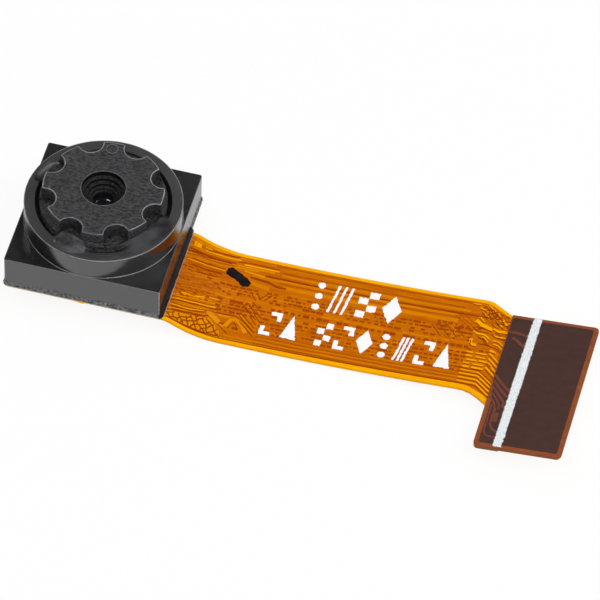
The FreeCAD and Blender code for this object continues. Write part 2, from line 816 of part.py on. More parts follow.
def rounded_outline(corners):
    # Plan outline through (x, y, radius) corners, with an arc at each one that has a radius.
    count = len(corners)
    places = [FreeCAD.Vector(x, y, 0) for x, y, radius in corners]
    edges = []
    joints = []
    for i, (x, y, radius) in enumerate(corners):
        here = places[i]
        back = (places[i - 1] - here).normalize()
        ahead = (places[(i + 1) % count] - here).normalize()
        if radius:
            half_angle = back.getAngle(ahead) / 2
            reach = radius / math.tan(half_angle)
            centre = here + (back + ahead).normalize() * (radius / math.sin(half_angle))
            middle = centre + (here - centre).normalize() * radius
            begin = here + back * reach
            end = here + ahead * reach
            edges.append(Part.Arc(begin, middle, end).toShape())
            joints.append((begin, end))
        else:
            joints.append((here, here))
    for i in range(count):
        begin = joints[i][1]
        end = joints[(i + 1) % count][0]
        edges.append(Part.LineSegment(begin, end).toShape())
    return Part.Wire(Part.__sortEdges__(edges))


def column(wire):
    # The plan outline as an upright block that takes in the whole side view.
    face = Part.Face(wire)
    face.translate(FreeCAD.Vector(0, 0, -OVERRUN))
    return face.extrude(FreeCAD.Vector(0, 0, number(PAD_TOP) + 2 * OVERRUN))


def round_column(radius, x, y):
    height = number(PAD_TOP) + 2 * OVERRUN
    return Part.makeCylinder(radius, height, FreeCAD.Vector(x, y, -OVERRUN))


def rectangle(x_low, x_high, y_low, y_high, radius=0.0):
    return rounded_outline([
        (x_low, y_low, radius),
        (x_high, y_low, radius),
        (x_high, y_high, radius),
        (x_low, y_high, radius),
    ])


def tongue_bottom():
    return number(TONGUE_TOP) - number(TONGUE_WIDTH)


def circuit_outline():
    half = number(BASE_HALF)
    corner = number("pad_corner")
    tongue_corner = number("tongue_corner")
    start = number(TONGUE_START)
    end = number(TONGUE_END)
    top = number(TONGUE_TOP)
    bottom = tongue_bottom()
    return rounded_outline([
        (-half, -half, corner),
        (start - number("flare_run"), -half, number("flare_radius")),
        (start, -half - number("flare_drop"), number("flare_corner")),
        (start, bottom, tongue_corner),
        (end, bottom, tongue_corner),
        (end, top, tongue_corner),
        (start, top, 0.0),
        (start - number("chamfer_run"), number("neck_top"), number("neck_fillet")),
        (half, number("neck_top"), number("root_fillet")),
        (half, half, corner),
        (-half, half, corner),
    ])


def ribbon(points, width):
    # Plan outline of a track of one width along straight runs.
    left = []
    right = []
    count = len(points)
    for i, point in enumerate(points):
        before = (point - points[i - 1]).normalize() if i > 0 else None
        after = (points[i + 1] - point).normalize() if i < count - 1 else None
        first = before or after
        second = after or before
        bisector = (first + second).normalize()
        side = FreeCAD.Vector(-bisector.y, bisector.x, 0)
        stretch = 1 / math.cos(first.getAngle(second) / 2)
        left.append(point + side * (width / 2 * stretch))
        right.append(point - side * (width / 2 * stretch))
    outline = left + right[::-1]
    return Part.makePolygon(outline + [outline[0]])


def contact_y(index):
    first = number(TONGUE_TOP + " - tongue_margin - 0.5*contact_width")
    return first - index * number("contact_pitch")


def throat_y(index):
    # The tracks pass the throat beside the tongue evenly spaced.
    top = contact_y(0)
    bottom = number(minus(BASE_HALF) + " - flare_drop + throat_margin")
    return top - (top - bottom) * index / (CONTACTS - 1)


def fan_end():
    # Where every track is level with its contact: the lowest one sets it by its steepness.
    last = CONTACTS - 1
    drop = throat_y(last) - contact_y(last)
    slope = math.tan(math.radians(number("fan_angle")))
    return number(TONGUE_START + " + throat_place") + drop / slope


def via_x():
    return fan_end() + number("via_lead")


def trace_points(index):
    # Along the neck, down into the throat, then out to the contact.
    margin = number("trace_margin")
    top = number("neck_top") - margin
    bottom = margin - number(BASE_HALF)
    y = top - (top - bottom) * index / (CONTACTS - 1)
    throat_x = number(TONGUE_START + " + throat_place")
    turn = math.tan(math.radians(number("trace_turn_angle")))
    contact = contact_y(index)
    return [
        FreeCAD.Vector(number(WINDOW_HALF), y, 0),
        FreeCAD.Vector(throat_x - (y - throat_y(index)) / turn, y, 0),
        FreeCAD.Vector(throat_x, throat_y(index), 0),
        FreeCAD.Vector(fan_end(), contact, 0),
        FreeCAD.Vector(via_x() + number("via_radius"), contact, 0),
    ]


def land_columns():
    columns = []
    for row in range(BALLS_A_SIDE):
        for line in range(BALLS_A_SIDE):
            columns.append(round_column(
                number("land_radius"), number(ball_place(row)), number(ball_place(line))))
    reach = number("chip_width") / 2
    for x, y in CHIP_PLACES:
        for side in (-1, 1):
            middle = number(y) + side * (number("chip_length") - number("chip_end")) / 2
            end = number("chip_end") / 2
            columns.append(column(rectangle(
                number(x) - reach, number(x) + reach, middle - end, middle + end)))
    return columns


def fitted(name, shape):
    item = doc.addObject("Part::Feature", name)
    item.Shape = shape
    return item


def flexible_circuit():
    outline = column(circuit_outline())
    contact_start = via_x() - 2 * number("via_radius")
    open_x = contact_start + number("contact_lap")
    contact_side = column(rectangle(
        open_x, number(TONGUE_END) + OVERRUN,
        tongue_bottom() - OVERRUN, number(TONGUE_TOP) + OVERRUN))
    window = number(WINDOW_HALF)
    part_window = column(rectangle(-window, window, -window, window))
    vias = [
        round_column(number("via_radius"), via_x(), contact_y(i)) for i in range(CONTACTS)]

    fitted("bottom_coverlay", bent_slab("0", BOTTOM_COPPER).common(outline).cut(contact_side))
    margin = number("copper_margin")
    plane = column(rectangle(
        margin - number(BASE_HALF), contact_start - margin,
        margin - number(BASE_HALF), number("neck_top") - margin, margin))
    low_copper = bent_slab(BOTTOM_COPPER, FILM_LOW)
    fitted("ground_copper", low_copper.common(plane).common(outline))
    film = bent_slab(FILM_LOW, FILM_HIGH)
    fitted("flex_base_film", film.common(outline).cut(Part.makeCompound(vias)))
    fitted("plated_vias", Part.makeCompound([film.common(via) for via in vias]))
    high_copper = bent_slab(FILM_HIGH, COVER_LOW)
    traces = [
        high_copper.common(column(ribbon(trace_points(i), number("trace_width"))))
        for i in range(CONTACTS)]
    fitted("signal_traces", Part.makeCompound(traces))
    lands = [high_copper.common(land) for land in land_columns()]
    fitted("component_lands", Part.makeCompound(lands))
    fitted("top_coverlay", bent_slab(COVER_LOW, COVER_HIGH).common(outline).cut(part_window))
    corner = number("tongue_corner")
    plate = column(rounded_outline([
        (number(TONGUE_START), tongue_bottom(), corner),
        (number(TONGUE_END), tongue_bottom(), corner),
        (number(TONGUE_END), number(TONGUE_TOP), corner),
        (number(TONGUE_START), number(TONGUE_TOP), 0.0),
    ]))
    fitted(
        "tongue_stiffener",
        bent_slab(COVER_HIGH, COVER_HIGH + " + tongue_plate").common(plate))
    half_contact = number("contact_width") / 2
    for i in range(CONTACTS):
        finger = column(rectangle(
            contact_start, number(TONGUE_END + " - contact_end_margin"),
            contact_y(i) - half_contact, contact_y(i) + half_contact))
        fitted(f"contact_finger_{i + 1:02d}", low_copper.common(finger))


def build():
    stiffener()
    flexible_circuit()
    image_sensor()
    for index, (x, y) in enumerate(CHIP_PLACES, start=1):
        chip_capacitor(index, x, y)
    holder_glue()
    lens_holder()
    infrared_filter()
    lens_barrel()
    optical_stack()
    thread_glue()
    doc.recompute()


def finished_pieces():
    # The document's top objects, each with a shape of its own: what no other object uses.
    pieces = []
    for item in doc.Objects:
        inside_body = item.getParentGeoFeatureGroup() is not None
        if item.isDerivedFrom("Part::Feature") and not inside_body:
            users = [user for user in item.InList if user.isDerivedFrom("Part::Feature")]
            if not users:
                pieces.append(item)
    return pieces


def check(pieces):
    for item in doc.Objects:
        if "Invalid" in item.State or "Error" in item.State:
            raise RuntimeError(f"{item.Name} failed: {item.State}")
    for item in pieces:
        if item.Shape.isNull() or not item.Shape.isValid() or not item.Shape.Solids:
            raise RuntimeError(f"{item.Label} has no sound shape")


def export(pieces):
    os.makedirs("parts", exist_ok=True)
    for item in pieces:
        item.Shape.exportStep(f"parts/{item.Label}.step")
        volume = item.Shape.Volume
        print(f"{item.Label}: {len(item.Shape.Solids)} solids, {volume:.4f} mm3")
    print(len(pieces), "pieces")


build()
finished = finished_pieces()
check(finished)
export(finished)
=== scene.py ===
import json
import math
import random

import bmesh
import bpy
from mathutils import Matrix, Vector, noise


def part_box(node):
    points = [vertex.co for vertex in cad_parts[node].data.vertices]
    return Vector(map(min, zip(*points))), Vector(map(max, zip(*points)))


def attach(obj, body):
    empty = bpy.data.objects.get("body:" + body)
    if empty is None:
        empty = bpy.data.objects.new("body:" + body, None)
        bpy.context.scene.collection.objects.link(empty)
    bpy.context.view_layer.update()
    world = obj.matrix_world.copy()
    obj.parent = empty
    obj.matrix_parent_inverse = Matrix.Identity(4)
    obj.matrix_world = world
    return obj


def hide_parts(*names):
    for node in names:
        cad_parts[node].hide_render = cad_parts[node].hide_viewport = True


# Camera module: a lens barrel in a square holder on a formed flexible circuit.
# The frame is in metres. The dictionaries below are in millimetres and degrees.
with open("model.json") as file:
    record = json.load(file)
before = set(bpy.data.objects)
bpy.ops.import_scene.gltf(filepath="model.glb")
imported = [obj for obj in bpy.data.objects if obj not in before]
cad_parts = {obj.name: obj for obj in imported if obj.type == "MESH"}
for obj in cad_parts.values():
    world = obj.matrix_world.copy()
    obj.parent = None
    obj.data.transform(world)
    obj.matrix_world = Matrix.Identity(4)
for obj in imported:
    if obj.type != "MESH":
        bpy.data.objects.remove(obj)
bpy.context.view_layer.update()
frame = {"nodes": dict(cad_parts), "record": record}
mm = 0.001
print("frame loaded,", len(frame["nodes"]), "nodes")


def nodeBox(name):
    low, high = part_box(name)
    return [v / mm for v in low], [v / mm for v in high]


holderLow, holderHigh = nodeBox("lens_holder")
barrelLow, barrelHigh = nodeBox("lens_barrel")
tongueLow, tongueHigh = nodeBox("tongue_stiffener")
padUnderside = nodeBox("stiffener_adhesive")[1][2]
baseHalf = holderHigh[0]
holderFoot = holderLow[2]
rimTop = holderHigh[2]
barrelFoot = barrelLow[2]
barrelTop = barrelHigh[2]


# Mesh helpers
def addObject(name, data):
    obj = bpy.data.objects.new(name, data)
    bpy.context.scene.collection.objects.link(obj)
    return obj


def wobble(x, y, fine, seed):
    # Smooth unevenness across the plan, between about -1 and 1
    return noise.noise(Vector((x * fine, y * fine, seed)))


def meshObject(name, bm):
    bmesh.ops.recalc_face_normals(bm, faces=bm.faces)
    mesh = bpy.data.meshes.new(name)
    bm.to_mesh(mesh)
    bm.free()
    return addObject(name, mesh)


def applyModifiers(obj):
    graph = bpy.context.evaluated_depsgraph_get()
    mesh = bpy.data.meshes.new_from_object(obj.evaluated_get(graph))
    obj.modifiers.clear()
    obj.data = mesh


def combine(base, tool, operation):
    boolean = base.modifiers.new(operation.lower(), "BOOLEAN")
    boolean.operation = operation
    boolean.solver = "EXACT"
    boolean.object = tool
    applyModifiers(base)
    bpy.data.objects.remove(tool)


def finishPiece(obj, finish, slot, *replaced, sharp=30.0, weighted=False):
    mesh = obj.data
    mesh.name = obj.name
    mesh.materials.clear()
    mesh.materials.append(finishes[finish])
    mesh.shade_smooth()
    mesh.set_sharp_from_angle(angle=math.radians(sharp))
    if weighted:
        # large flat faces keep their own normal beside a small rounded edge
        even = obj.modifiers.new("even", "WEIGHTED_NORMAL")
        even.keep_sharp = True
        even.weight = 100
        applyModifiers(obj)
    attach(obj, "root")
    if replaced:
        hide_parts(*replaced)
    return obj


def joinRings(bm, rings, closed):
    count = len(rings)
    for i in range(count if closed else count - 1):
        low = rings[i]
        high = rings[(i + 1) % count]
        size = len(low)
        for k in range(size):
            after = (k + 1) % size
            corners = list(dict.fromkeys([low[k], low[after], high[after], high[k]]))
            if len(corners) > 2:
                bm.faces.new(corners)


def circle(radius, steps=180, centre=(0.0, 0.0)):
    angles = [2 * math.pi * k / steps for k in range(steps)]
    return [(centre[0] + radius * math.cos(a), centre[1] + radius * math.sin(a)) for a in angles]


def turnInto(bm, profile, spin, centre=(0.0, 0.0), closed=True):
    # A section of (radius, height) turned about an upright axis
    rings = []
    for radius, height in profile:
        if radius < 1e-6:
            rings.append([bm.verts.new((centre[0] * mm, centre[1] * mm, height * mm))] * spin)
        else:
            rings.append([
                bm.verts.new((x * mm, y * mm, height * mm)) for x, y in circle(radius, spin, centre)])
    joinRings(bm, rings, closed)


def turned(name, profile, spin=192, centre=(0.0, 0.0)):
    bm = bmesh.new()
    turnInto(bm, profile, spin, centre)
    return meshObject(name, bm)


def roundedSquare(half, radius, steps=8):
    points = []
    for quarter in range(4):
        start = math.pi / 2 * quarter
        cx = (half - radius) * (1 if quarter in (0, 3) else -1)
        cy = (half - radius) * (1 if quarter in (0, 1) else -1)
        for step in range(steps + 1):
            angle = start + math.pi / 2 * step / steps
            points.append((cx + radius * math.cos(angle), cy + radius * math.sin(angle)))
    return points


def stacked(name, layers):
    # Rings of (outline, height), closed by a flat face at each end
    bm = bmesh.new()
    rings = [[bm.verts.new((x * mm, y * mm, z * mm)) for x, y in outline] for outline, z in layers]
    joinRings(bm, rings, False)
    bm.faces.new(rings[0])
    bm.faces.new(rings[-1])
    return meshObject(name, bm)


# Node helpers
def setInputs(node, values):
    for socket, value in values.items():
        node.inputs[socket].default_value = value


def addNode(tree, kind, values=None, **settings):
    node = tree.nodes.new(kind)
    for setting, value in settings.items():
        setattr(node, setting, value)
    setInputs(node, values or {})
    return node


def connect(tree, *wires):
    # Each wire is a node and its output, then a node and its input
    for source, output, target, socket in wires:
        tree.links.new(source.outputs[output], target.inputs[socket])


def addSockets(tree, inputs, outputs):
    for name, kind, value in inputs:
        socket = tree.interface.new_socket(name, in_out="INPUT", socket_type="NodeSocket" + kind)
        if value is not None:
            socket.default_value = value
    for name, kind in outputs:
        tree.interface.new_socket(name, in_out="OUTPUT", socket_type="NodeSocket" + kind)
    return addNode(tree, "NodeGroupInput"), addNode(tree, "NodeGroupOutput")


# Camera at the photograph's viewing angle
photoCamera = {
    "turn": 13.1,
    "elevation": 50.32,
    "roll": 2.12,
    "distance": 320.0,
    "aimRight": 9.765,
    "aimUp": -4.133,
    "aimHeight": 2.88,
    "lens": 386.3,
    "clipStart": 20.0,
    "clipEnd": 20000.0,
}


def makeCamera(sizes):
    turn = math.radians(sizes["turn"])
    elevation = math.radians(sizes["elevation"])
    roll = math.radians(sizes["roll"])
    right = Vector((math.cos(turn), math.sin(turn), 0))
    away = Vector((-math.sin(turn), math.cos(turn), 0))
    back = Vector((0, 0, math.sin(elevation))) - away * math.cos(elevation)
    up = back.cross(right)
    cameraRight = right * math.cos(roll) + up * math.sin(roll)
    cameraUp = up * math.cos(roll) - right * math.sin(roll)
    place = back * sizes["distance"] + cameraRight * sizes["aimRight"] + cameraUp * sizes["aimUp"]
    place.z += sizes["aimHeight"]
    data = bpy.data.cameras.new("photo_camera")
    data.lens = sizes["lens"]
    data.clip_start = sizes["clipStart"] * mm
    data.clip_end = sizes["clipEnd"] * mm
    camera = addObject("photo_camera", data)
    facing = Matrix((cameraRight, cameraUp, back)).transposed().to_4x4()
    camera.matrix_world = Matrix.Translation(place * mm) @ facing
    bpy.context.scene.camera = camera


makeCamera(photoCamera)
bpy.context.scene.view_settings.view_transform = "Standard"
print("camera placed")


# Studio: a pale floor that curves up far away, soft boxes and a dim room
studio = {
    "floorLevel": -0.02,
    "floorRadius": 900.0,
    "floorSpin": 96,
    "sweepRadius": 300.0,
    "sweepSteps": 12,
    "floorColour": (0.95, 0.95, 0.95),
    "whiteShare": 0.9,
    "roomLight": 0.05,
    "lampReach": 520.0,
    "lampTarget": (3.0, 0.0, 3.0),
    # name: bearing, elevation, width, share of the light on a level surface
    "lamps": {
        "softbox_left": (137.0, 42.0, 80.0, 0.055),
        "softbox_right": (87.0, 42.0, 80.0, 0.055),
        "overhead": (-70.0, 70.0, 760.0, 1.2),
        "side_fill": (10.0, 35.0, 260.0, 0.15),
    },
}


def makeFloorPaint(sizes):
    # Shaded like any floor, but nearly white to the camera, in gloss and through glass
    material = bpy.data.materials.new("pale_floor")
    material.use_nodes = True
    tree = material.node_tree
    tree.nodes.clear()
    output = addNode(tree, "ShaderNodeOutputMaterial")
    diffuse = addNode(tree, "ShaderNodeBsdfDiffuse", {"Color": (*sizes["floorColour"], 1)})
    glow = addNode(tree, "ShaderNodeEmission")
    path = addNode(tree, "ShaderNodeLightPath")
    either = addNode(tree, "ShaderNodeMath", operation="MAXIMUM")
    anySeen = addNode(tree, "ShaderNodeMath", operation="MAXIMUM")
    share = addNode(tree, "ShaderNodeMath", {1: sizes["whiteShare"]}, operation="MULTIPLY")
    mix = addNode(tree, "ShaderNodeMixShader")
    connect(
        tree,
        (path, "Is Camera Ray", either, 0),
        (path, "Is Glossy Ray", either, 1),
        (either, 0, anySeen, 0),
        (path, "Is Transmission Ray", anySeen, 1),
        (anySeen, 0, share, 0),
        (share, 0, mix, "Fac"),
        (diffuse, 0, mix, 1),
        (glow, 0, mix, 2),
        (mix, 0, output, "Surface"))
    return material


def makeFloor(sizes):
    ground = sizes["floorLevel"]
    radius = sizes["floorRadius"]
    sweep = sizes["sweepRadius"]
    profile = [(0.0, ground), (radius, ground)]
    for step in range(1, sizes["sweepSteps"] + 1):
        angle = math.pi / 2 * step / sizes["sweepSteps"]
        profile.append((radius + sweep * math.sin(angle), ground + sweep * (1 - math.cos(angle))))
    bm = bmesh.new()
    turnInto(bm, reversed(profile), sizes["floorSpin"], closed=False)
    mesh = bpy.data.meshes.new("floor")
    bm.to_mesh(mesh)
    bm.free()
    mesh.shade_smooth()
    mesh.materials.append(makeFloorPaint(sizes))
    addObject("floor", mesh)


def makeLights(sizes):
    world = bpy.data.worlds.new("dim_room")
    world.use_nodes = True
    setInputs(world.node_tree.nodes["Background"], {
        "Color": (1, 1, 1, 1), "Strength": sizes["roomLight"]})
    bpy.context.scene.world = world
    target = Vector(sizes["lampTarget"]) * mm
    reach = sizes["lampReach"] * mm
    for name, (bearing, elevation, width, share) in sizes["lamps"].items():
        along = math.radians(bearing)
        above = math.radians(elevation)
        direction = Vector((
            math.cos(along) * math.cos(above), math.sin(along) * math.cos(above), math.sin(above)))
        light = bpy.data.lights.new(name, "AREA")
        light.shape = "SQUARE"
        light.size = width * mm
        # a square lamp of this power gives a level white surface that share of full white
        light.energy = share * math.pi ** 2 * reach ** 2 / math.sin(above)
        lamp = addObject(name, light)
        lamp.location = target + direction * reach
        lamp.rotation_euler = direction.to_track_quat("Z", "Y").to_euler()


makeFloor(studio)
makeLights(studio)
print("studio ready")


# Materials
grainSizes = {
    "fineDetail": 3.0,
    "broadDetail": 2.0,
    # how coarse the broad patches are, beside the fine grain
    "broadScale": 0.07,
    # the noise values at which a colour is wholly dark or wholly light
    "darkBelow": 0.32,
    "lightAbove": 0.68,
}


def makeGrainGroup(sizes):
    # Grain stretched along the part, and broad patches, between a dark and a light colour
    tree = bpy.data.node_groups.new("surface_grain", "ShaderNodeTree")
    given, result = addSockets(tree, [
        ("Along", "Float", 9000.0),
        ("Across", "Float", 9000.0),
        ("Patches", "Float", 0.35),
        ("Dark", "Color", (0, 0, 0, 1)),
        ("Light", "Color", (1, 1, 1, 1)),
    ], [("Colour", "Color"), ("Height", "Float")])
    place = addNode(tree, "ShaderNodeTexCoord")
    scales = addNode(tree, "ShaderNodeCombineXYZ")
    stretched = addNode(tree, "ShaderNodeVectorMath", operation="MULTIPLY")
    fine = addNode(tree, "ShaderNodeTexNoise", {"Scale": 1.0, "Detail": sizes["fineDetail"]})
    broad = addNode(tree, "ShaderNodeTexNoise", {
        "Scale": sizes["broadScale"], "Detail": sizes["broadDetail"]})
    blend = addNode(tree, "ShaderNodeMix")
    spread = addNode(tree, "ShaderNodeMapRange", {
        "From Min": sizes["darkBelow"], "From Max": sizes["lightAbove"]})
    colour = addNode(tree, "ShaderNodeMix", data_type="RGBA")
    connect(
        tree,
        (given, "Along", scales, "X"),
        (given, "Across", scales, "Y"),
        (given, "Across", scales, "Z"),
        (place, "Object", stretched, 0),
        (scales, 0, stretched, 1),
        (stretched, 0, fine, "Vector"),
        (stretched, 0, broad, "Vector"),
        (given, "Patches", blend, "Factor"),
        (fine, "Fac", blend, 2),
        (broad, "Fac", blend, 3),
        (blend, 0, spread, "Value"),
        (spread, "Result", colour, "Factor"),
        (given, "Dark", colour, 6),
        (given, "Light", colour, 7),
        (colour, 2, result, "Colour"),
        (fine, "Fac", result, "Height"))
    return tree


grainGroup = makeGrainGroup(grainSizes)


def makeFinish(name, dark, light, roughness, along=9000.0, across=None, patches=0.35,
               bump=0.2, depth=0.004, ior=1.5, metallic=0.0, specular=0.5):
    material = bpy.data.materials.new(name)
    material.use_nodes = True
    tree = material.node_tree
    shader = tree.nodes["Principled BSDF"]
    setInputs(shader, {
        "Roughness": roughness, "IOR": ior, "Metallic": metallic, "Specular IOR Level": specular})
    grain = addNode(tree, "ShaderNodeGroup", {
        "Along": along, "Across": across or along, "Patches": patches,
        "Dark": (*dark, 1), "Light": (*light, 1)}, node_tree=grainGroup)
    connect(tree, (grain, "Colour", shader, "Base Color"))
    if bump:
        relief = addNode(tree, "ShaderNodeBump", {"Strength": bump, "Distance": depth * mm})
        connect(tree, (grain, "Height", relief, "Height"), (relief, "Normal", shader, "Normal"))
    return material


def makeGlass(name, colour, roughness, ior):
    material = bpy.data.materials.new(name)
    material.use_nodes = True
    setInputs(material.node_tree.nodes["Principled BSDF"], {
        "Base Color": (*colour, 1), "Roughness": roughness, "IOR": ior, "Transmission Weight": 1.0})
    return material


finishes = {
    "holder": makeFinish("holder_moulding", (0.001, 0.001, 0.001), (0.009, 0.009, 0.01), 0.23,
                         along=6500, across=9500, bump=0.45, depth=0.012, ior=1.9),
    "barrel": makeFinish("barrel_moulding", (0.0, 0.0, 0.0), (0.06, 0.06, 0.064), 0.42,
                         along=6000, across=11500, patches=0.02, bump=1.0, depth=0.1, ior=1.38),
    # light grey along the moulding edges: a painted highlight
    "lip": makeFinish("worn_edge", (0.03, 0.03, 0.033), (0.42, 0.42, 0.44), 0.35,
                      along=2500, patches=0.6, bump=0.4, depth=0.01, ior=1.6),
    "dark": makeFinish("blackened_inside", (0.004, 0.004, 0.004), (0.008, 0.008, 0.008), 0.45),
    # near black all over: painted shade, the dark inside as seen through clear glass
    "lens": makeFinish("dark_coated_lens", (0.002, 0.002, 0.003), (0.003, 0.003, 0.004), 0.12,
                       along=2000, bump=0.0, ior=1.7),
    "glue": makeFinish("cured_glue", (0.004, 0.004, 0.005), (0.022, 0.022, 0.026), 0.38,
                       along=2000, patches=0.35, bump=0.6, depth=0.03, ior=1.4),
    # lighter grey than the other glue: a painted sheen
    "sheenGlue": makeFinish("hazed_glue", (0.014, 0.014, 0.017), (0.05, 0.05, 0.057), 0.34,
                           along=7000, patches=0.04, bump=0.3, depth=0.03, ior=1.45),
    "footGlue": makeFinish("speckled_glue", (0.0, 0.0, 0.0), (0.26, 0.26, 0.27), 0.36,
                           along=9000, patches=0.1, bump=1.0, depth=0.05, ior=1.3),
    # bluish light grey: a painted highlight along the glue's edge
    "glueHighlight": makeFinish("bright_glue_edge", (0.1, 0.12, 0.16), (0.5, 0.55, 0.62), 0.3,
                           along=2500, bump=0.3, depth=0.01),
    "film": makeFinish("bare_amber_film", (0.9, 0.36, 0.0), (1.0, 0.46, 0.0), 0.35,
                       along=600, across=5000, bump=0.1, specular=0.04),
    "copperFilm": makeFinish("film_over_copper", (0.46, 0.095, 0.0), (0.68, 0.19, 0.0), 0.33,
                             along=450, across=6500, patches=0.25, bump=0.15, specular=0.04),
    "opening": makeFinish("film_over_opening", (0.68, 0.22, 0.0), (0.86, 0.32, 0.0), 0.33,
                          along=1500, across=4500, specular=0.04),
    "darkLine": makeFinish("shaded_track_edge", (0.26, 0.035, 0.0), (0.38, 0.065, 0.0), 0.38,
                           along=1500, across=6000, specular=0.04),
    "midLine": makeFinish("soft_track_edge", (0.41, 0.08, 0.0), (0.5, 0.11, 0.0), 0.38,
                          along=1500, across=6000, specular=0.04),
    "lightLine": makeFinish("lit_track", (0.62, 0.18, 0.0), (0.74, 0.23, 0.0), 0.33,
                            along=1500, across=6000, specular=0.04),
    "yellowLine": makeFinish("bare_gap", (0.85, 0.33, 0.0), (1.0, 0.45, 0.0), 0.35,
                             along=1500, across=6000, specular=0.04),
    # dimmer tracks, and the strip along the holder as painted shade
    "hazeLine": makeFinish("hazed_track", (0.46, 0.11, 0.004), (0.54, 0.14, 0.008), 0.4,
                           along=1500, across=4000, specular=0.04),
    "tongueEdge": makeFinish("brown_film_edge", (0.21, 0.062, 0.026), (0.31, 0.085, 0.03), 0.4,
                             along=1500, across=4000, specular=0.04),
    "tongueLine": makeFinish("brown_film_over_track", (0.15, 0.05, 0.03), (0.2, 0.062, 0.034), 0.4,
                             along=1500, across=4000, specular=0.04),
    "tongue": makeFinish("brown_film", (0.06, 0.03, 0.026), (0.078, 0.038, 0.032), 0.42,
                         along=1500, across=2500, bump=0.2, specular=0.04),
    "print": makeFinish("white_print", (0.94, 0.95, 0.96), (1.0, 1.0, 1.0), 0.6,
                        along=9000, bump=0.4, depth=0.01),
    "stripe": makeFinish("white_stripe", (0.58, 0.66, 0.68), (1.0, 1.0, 1.0), 0.6,
                         along=16000, patches=0.0, bump=0.5, depth=0.01),
    "ink": makeFinish("dark_ink", (0.003, 0.002, 0.002), (0.02, 0.011, 0.009), 0.6,
                      along=3000, bump=0.4, depth=0.01, specular=0.06),
    "board": makeFinish("glass_filled_board", (0.16, 0.13, 0.05), (0.24, 0.2, 0.09), 0.5,
                        along=3000, bump=0.4),
    "adhesive": makeFinish("bonding_film", (0.45, 0.34, 0.15), (0.6, 0.46, 0.24), 0.5),
    "copper": makeFinish("copper_foil", (0.7, 0.33, 0.17), (0.8, 0.42, 0.25), 0.3,
                         along=4000, metallic=1.0, bump=0.15),
    "gold": makeFinish("gold_plate", (0.78, 0.55, 0.2), (0.88, 0.66, 0.3), 0.25,
                       along=800, across=9000, metallic=1.0, bump=0.15),
    "silicon": makeFinish("polished_silicon", (0.14, 0.13, 0.16), (0.18, 0.17, 0.21), 0.12,
                          bump=0.05),
    "solder": makeFinish("solder", (0.55, 0.55, 0.56), (0.66, 0.66, 0.67), 0.3, metallic=1.0),
    "capacitor": makeFinish("tinned_ceramic", (0.42, 0.32, 0.22), (0.56, 0.45, 0.34), 0.4),
    "glass": makeGlass("clear_lens", (0.93, 0.96, 0.98), 0.02, 1.53),
    "filter": makeGlass("filter_glass", (0.8, 0.95, 0.92), 0.02, 1.52),
}


def tintRegion(material, colour, tests):
    # Another colour where every test holds, in millimetres
    tree = material.node_tree
    shader = tree.nodes["Principled BSDF"]
    before = shader.inputs["Base Color"].links[0].from_socket
    place = addNode(tree, "ShaderNodeTexCoord")
    flat = addNode(tree, "ShaderNodeVectorMath", {1: (1, 1, 0)}, operation="MULTIPLY")
    away = addNode(tree, "ShaderNodeVectorMath", operation="LENGTH")
    parts = addNode(tree, "ShaderNodeSeparateXYZ")
    mix = addNode(tree, "ShaderNodeMix", {7: (*colour, 1)}, data_type="RGBA")
    connect(tree, (place, "Object", flat, 0), (flat, 0, away, 0), (place, "Object", parts, 0))
    mask = None
    for axis, sign, limit in tests:
        compare = "GREATER_THAN" if sign == ">" else "LESS_THAN"
        test = addNode(tree, "ShaderNodeMath", {1: limit * mm}, operation=compare)
        connect(tree, (away, "Value", test, 0) if axis == "reach" else (parts, axis, test, 0))
        if mask is not None:
            both = addNode(tree, "ShaderNodeMath", operation="MULTIPLY")
            connect(tree, (mask, 0, both, 0), (test, 0, both, 1))
            test = both
        mask = test
    tree.links.new(before, mix.inputs[6])
    connect(tree, (mask, 0, mix, "Factor"), (mix, 2, shader, "Base Color"))


# Painted shade inside the hood, a lighter top of the rim, painted shade on the glue beside the neck,
# cut edges of the film by the holder and by the tongue. A test is X, Y, Z or the reach from the upright
# axis, and its limit.
tints = [
    # painted shade inside the hood
    ("barrel", (0.003, 0.003, 0.003), ("reach", "<", 1.15), ("Z", "<", barrelTop - 0.02)),
    ("holder", (0.04, 0.04, 0.04), ("Z", ">", rimTop - 0.01)),
    # painted shade on the glue bead where it meets the neck
    ("footGlue", (0.004, 0.004, 0.005), ("X", ">", 3.995), ("Y", "<", 1.9)),
    ("film", (0.72, 0.58, 0.36), ("X", "<", 4.05), ("Y", "<", -3.98), ("Y", ">", -4.005)),
    ("film", (0.26, 0.11, 0.05), ("X", ">", 20.9), ("Y", "<", -7.4)),
]
for tinted, tone, *limits in tints:
    tintRegion(finishes[tinted], tone, limits)
print(len(finishes), "materials")


# Lens holder: square base, round collar, bore with a lead-in
holder = {
    "cornerRadius": 0.12,
    "topEdge": 0.03,
    "baseTop": 2.88,
    "collarRadius": 3.96,
    "collarFoot": 0.036,
    "collarRoot": 0.2,
    "collarSunk": 0.01,
    "rimEdge": 0.05,
    "boreRadius": 3.21,
    "boreLead": 0.21,
    "webLow": 2.33,
    "webHigh": 2.63,
    "windowRadius": 2.3,
    "cavityHalf": 3.2,
    "cavityCorner": 0.4,
    "spin": 256,
    "windowSpin": 96,
}


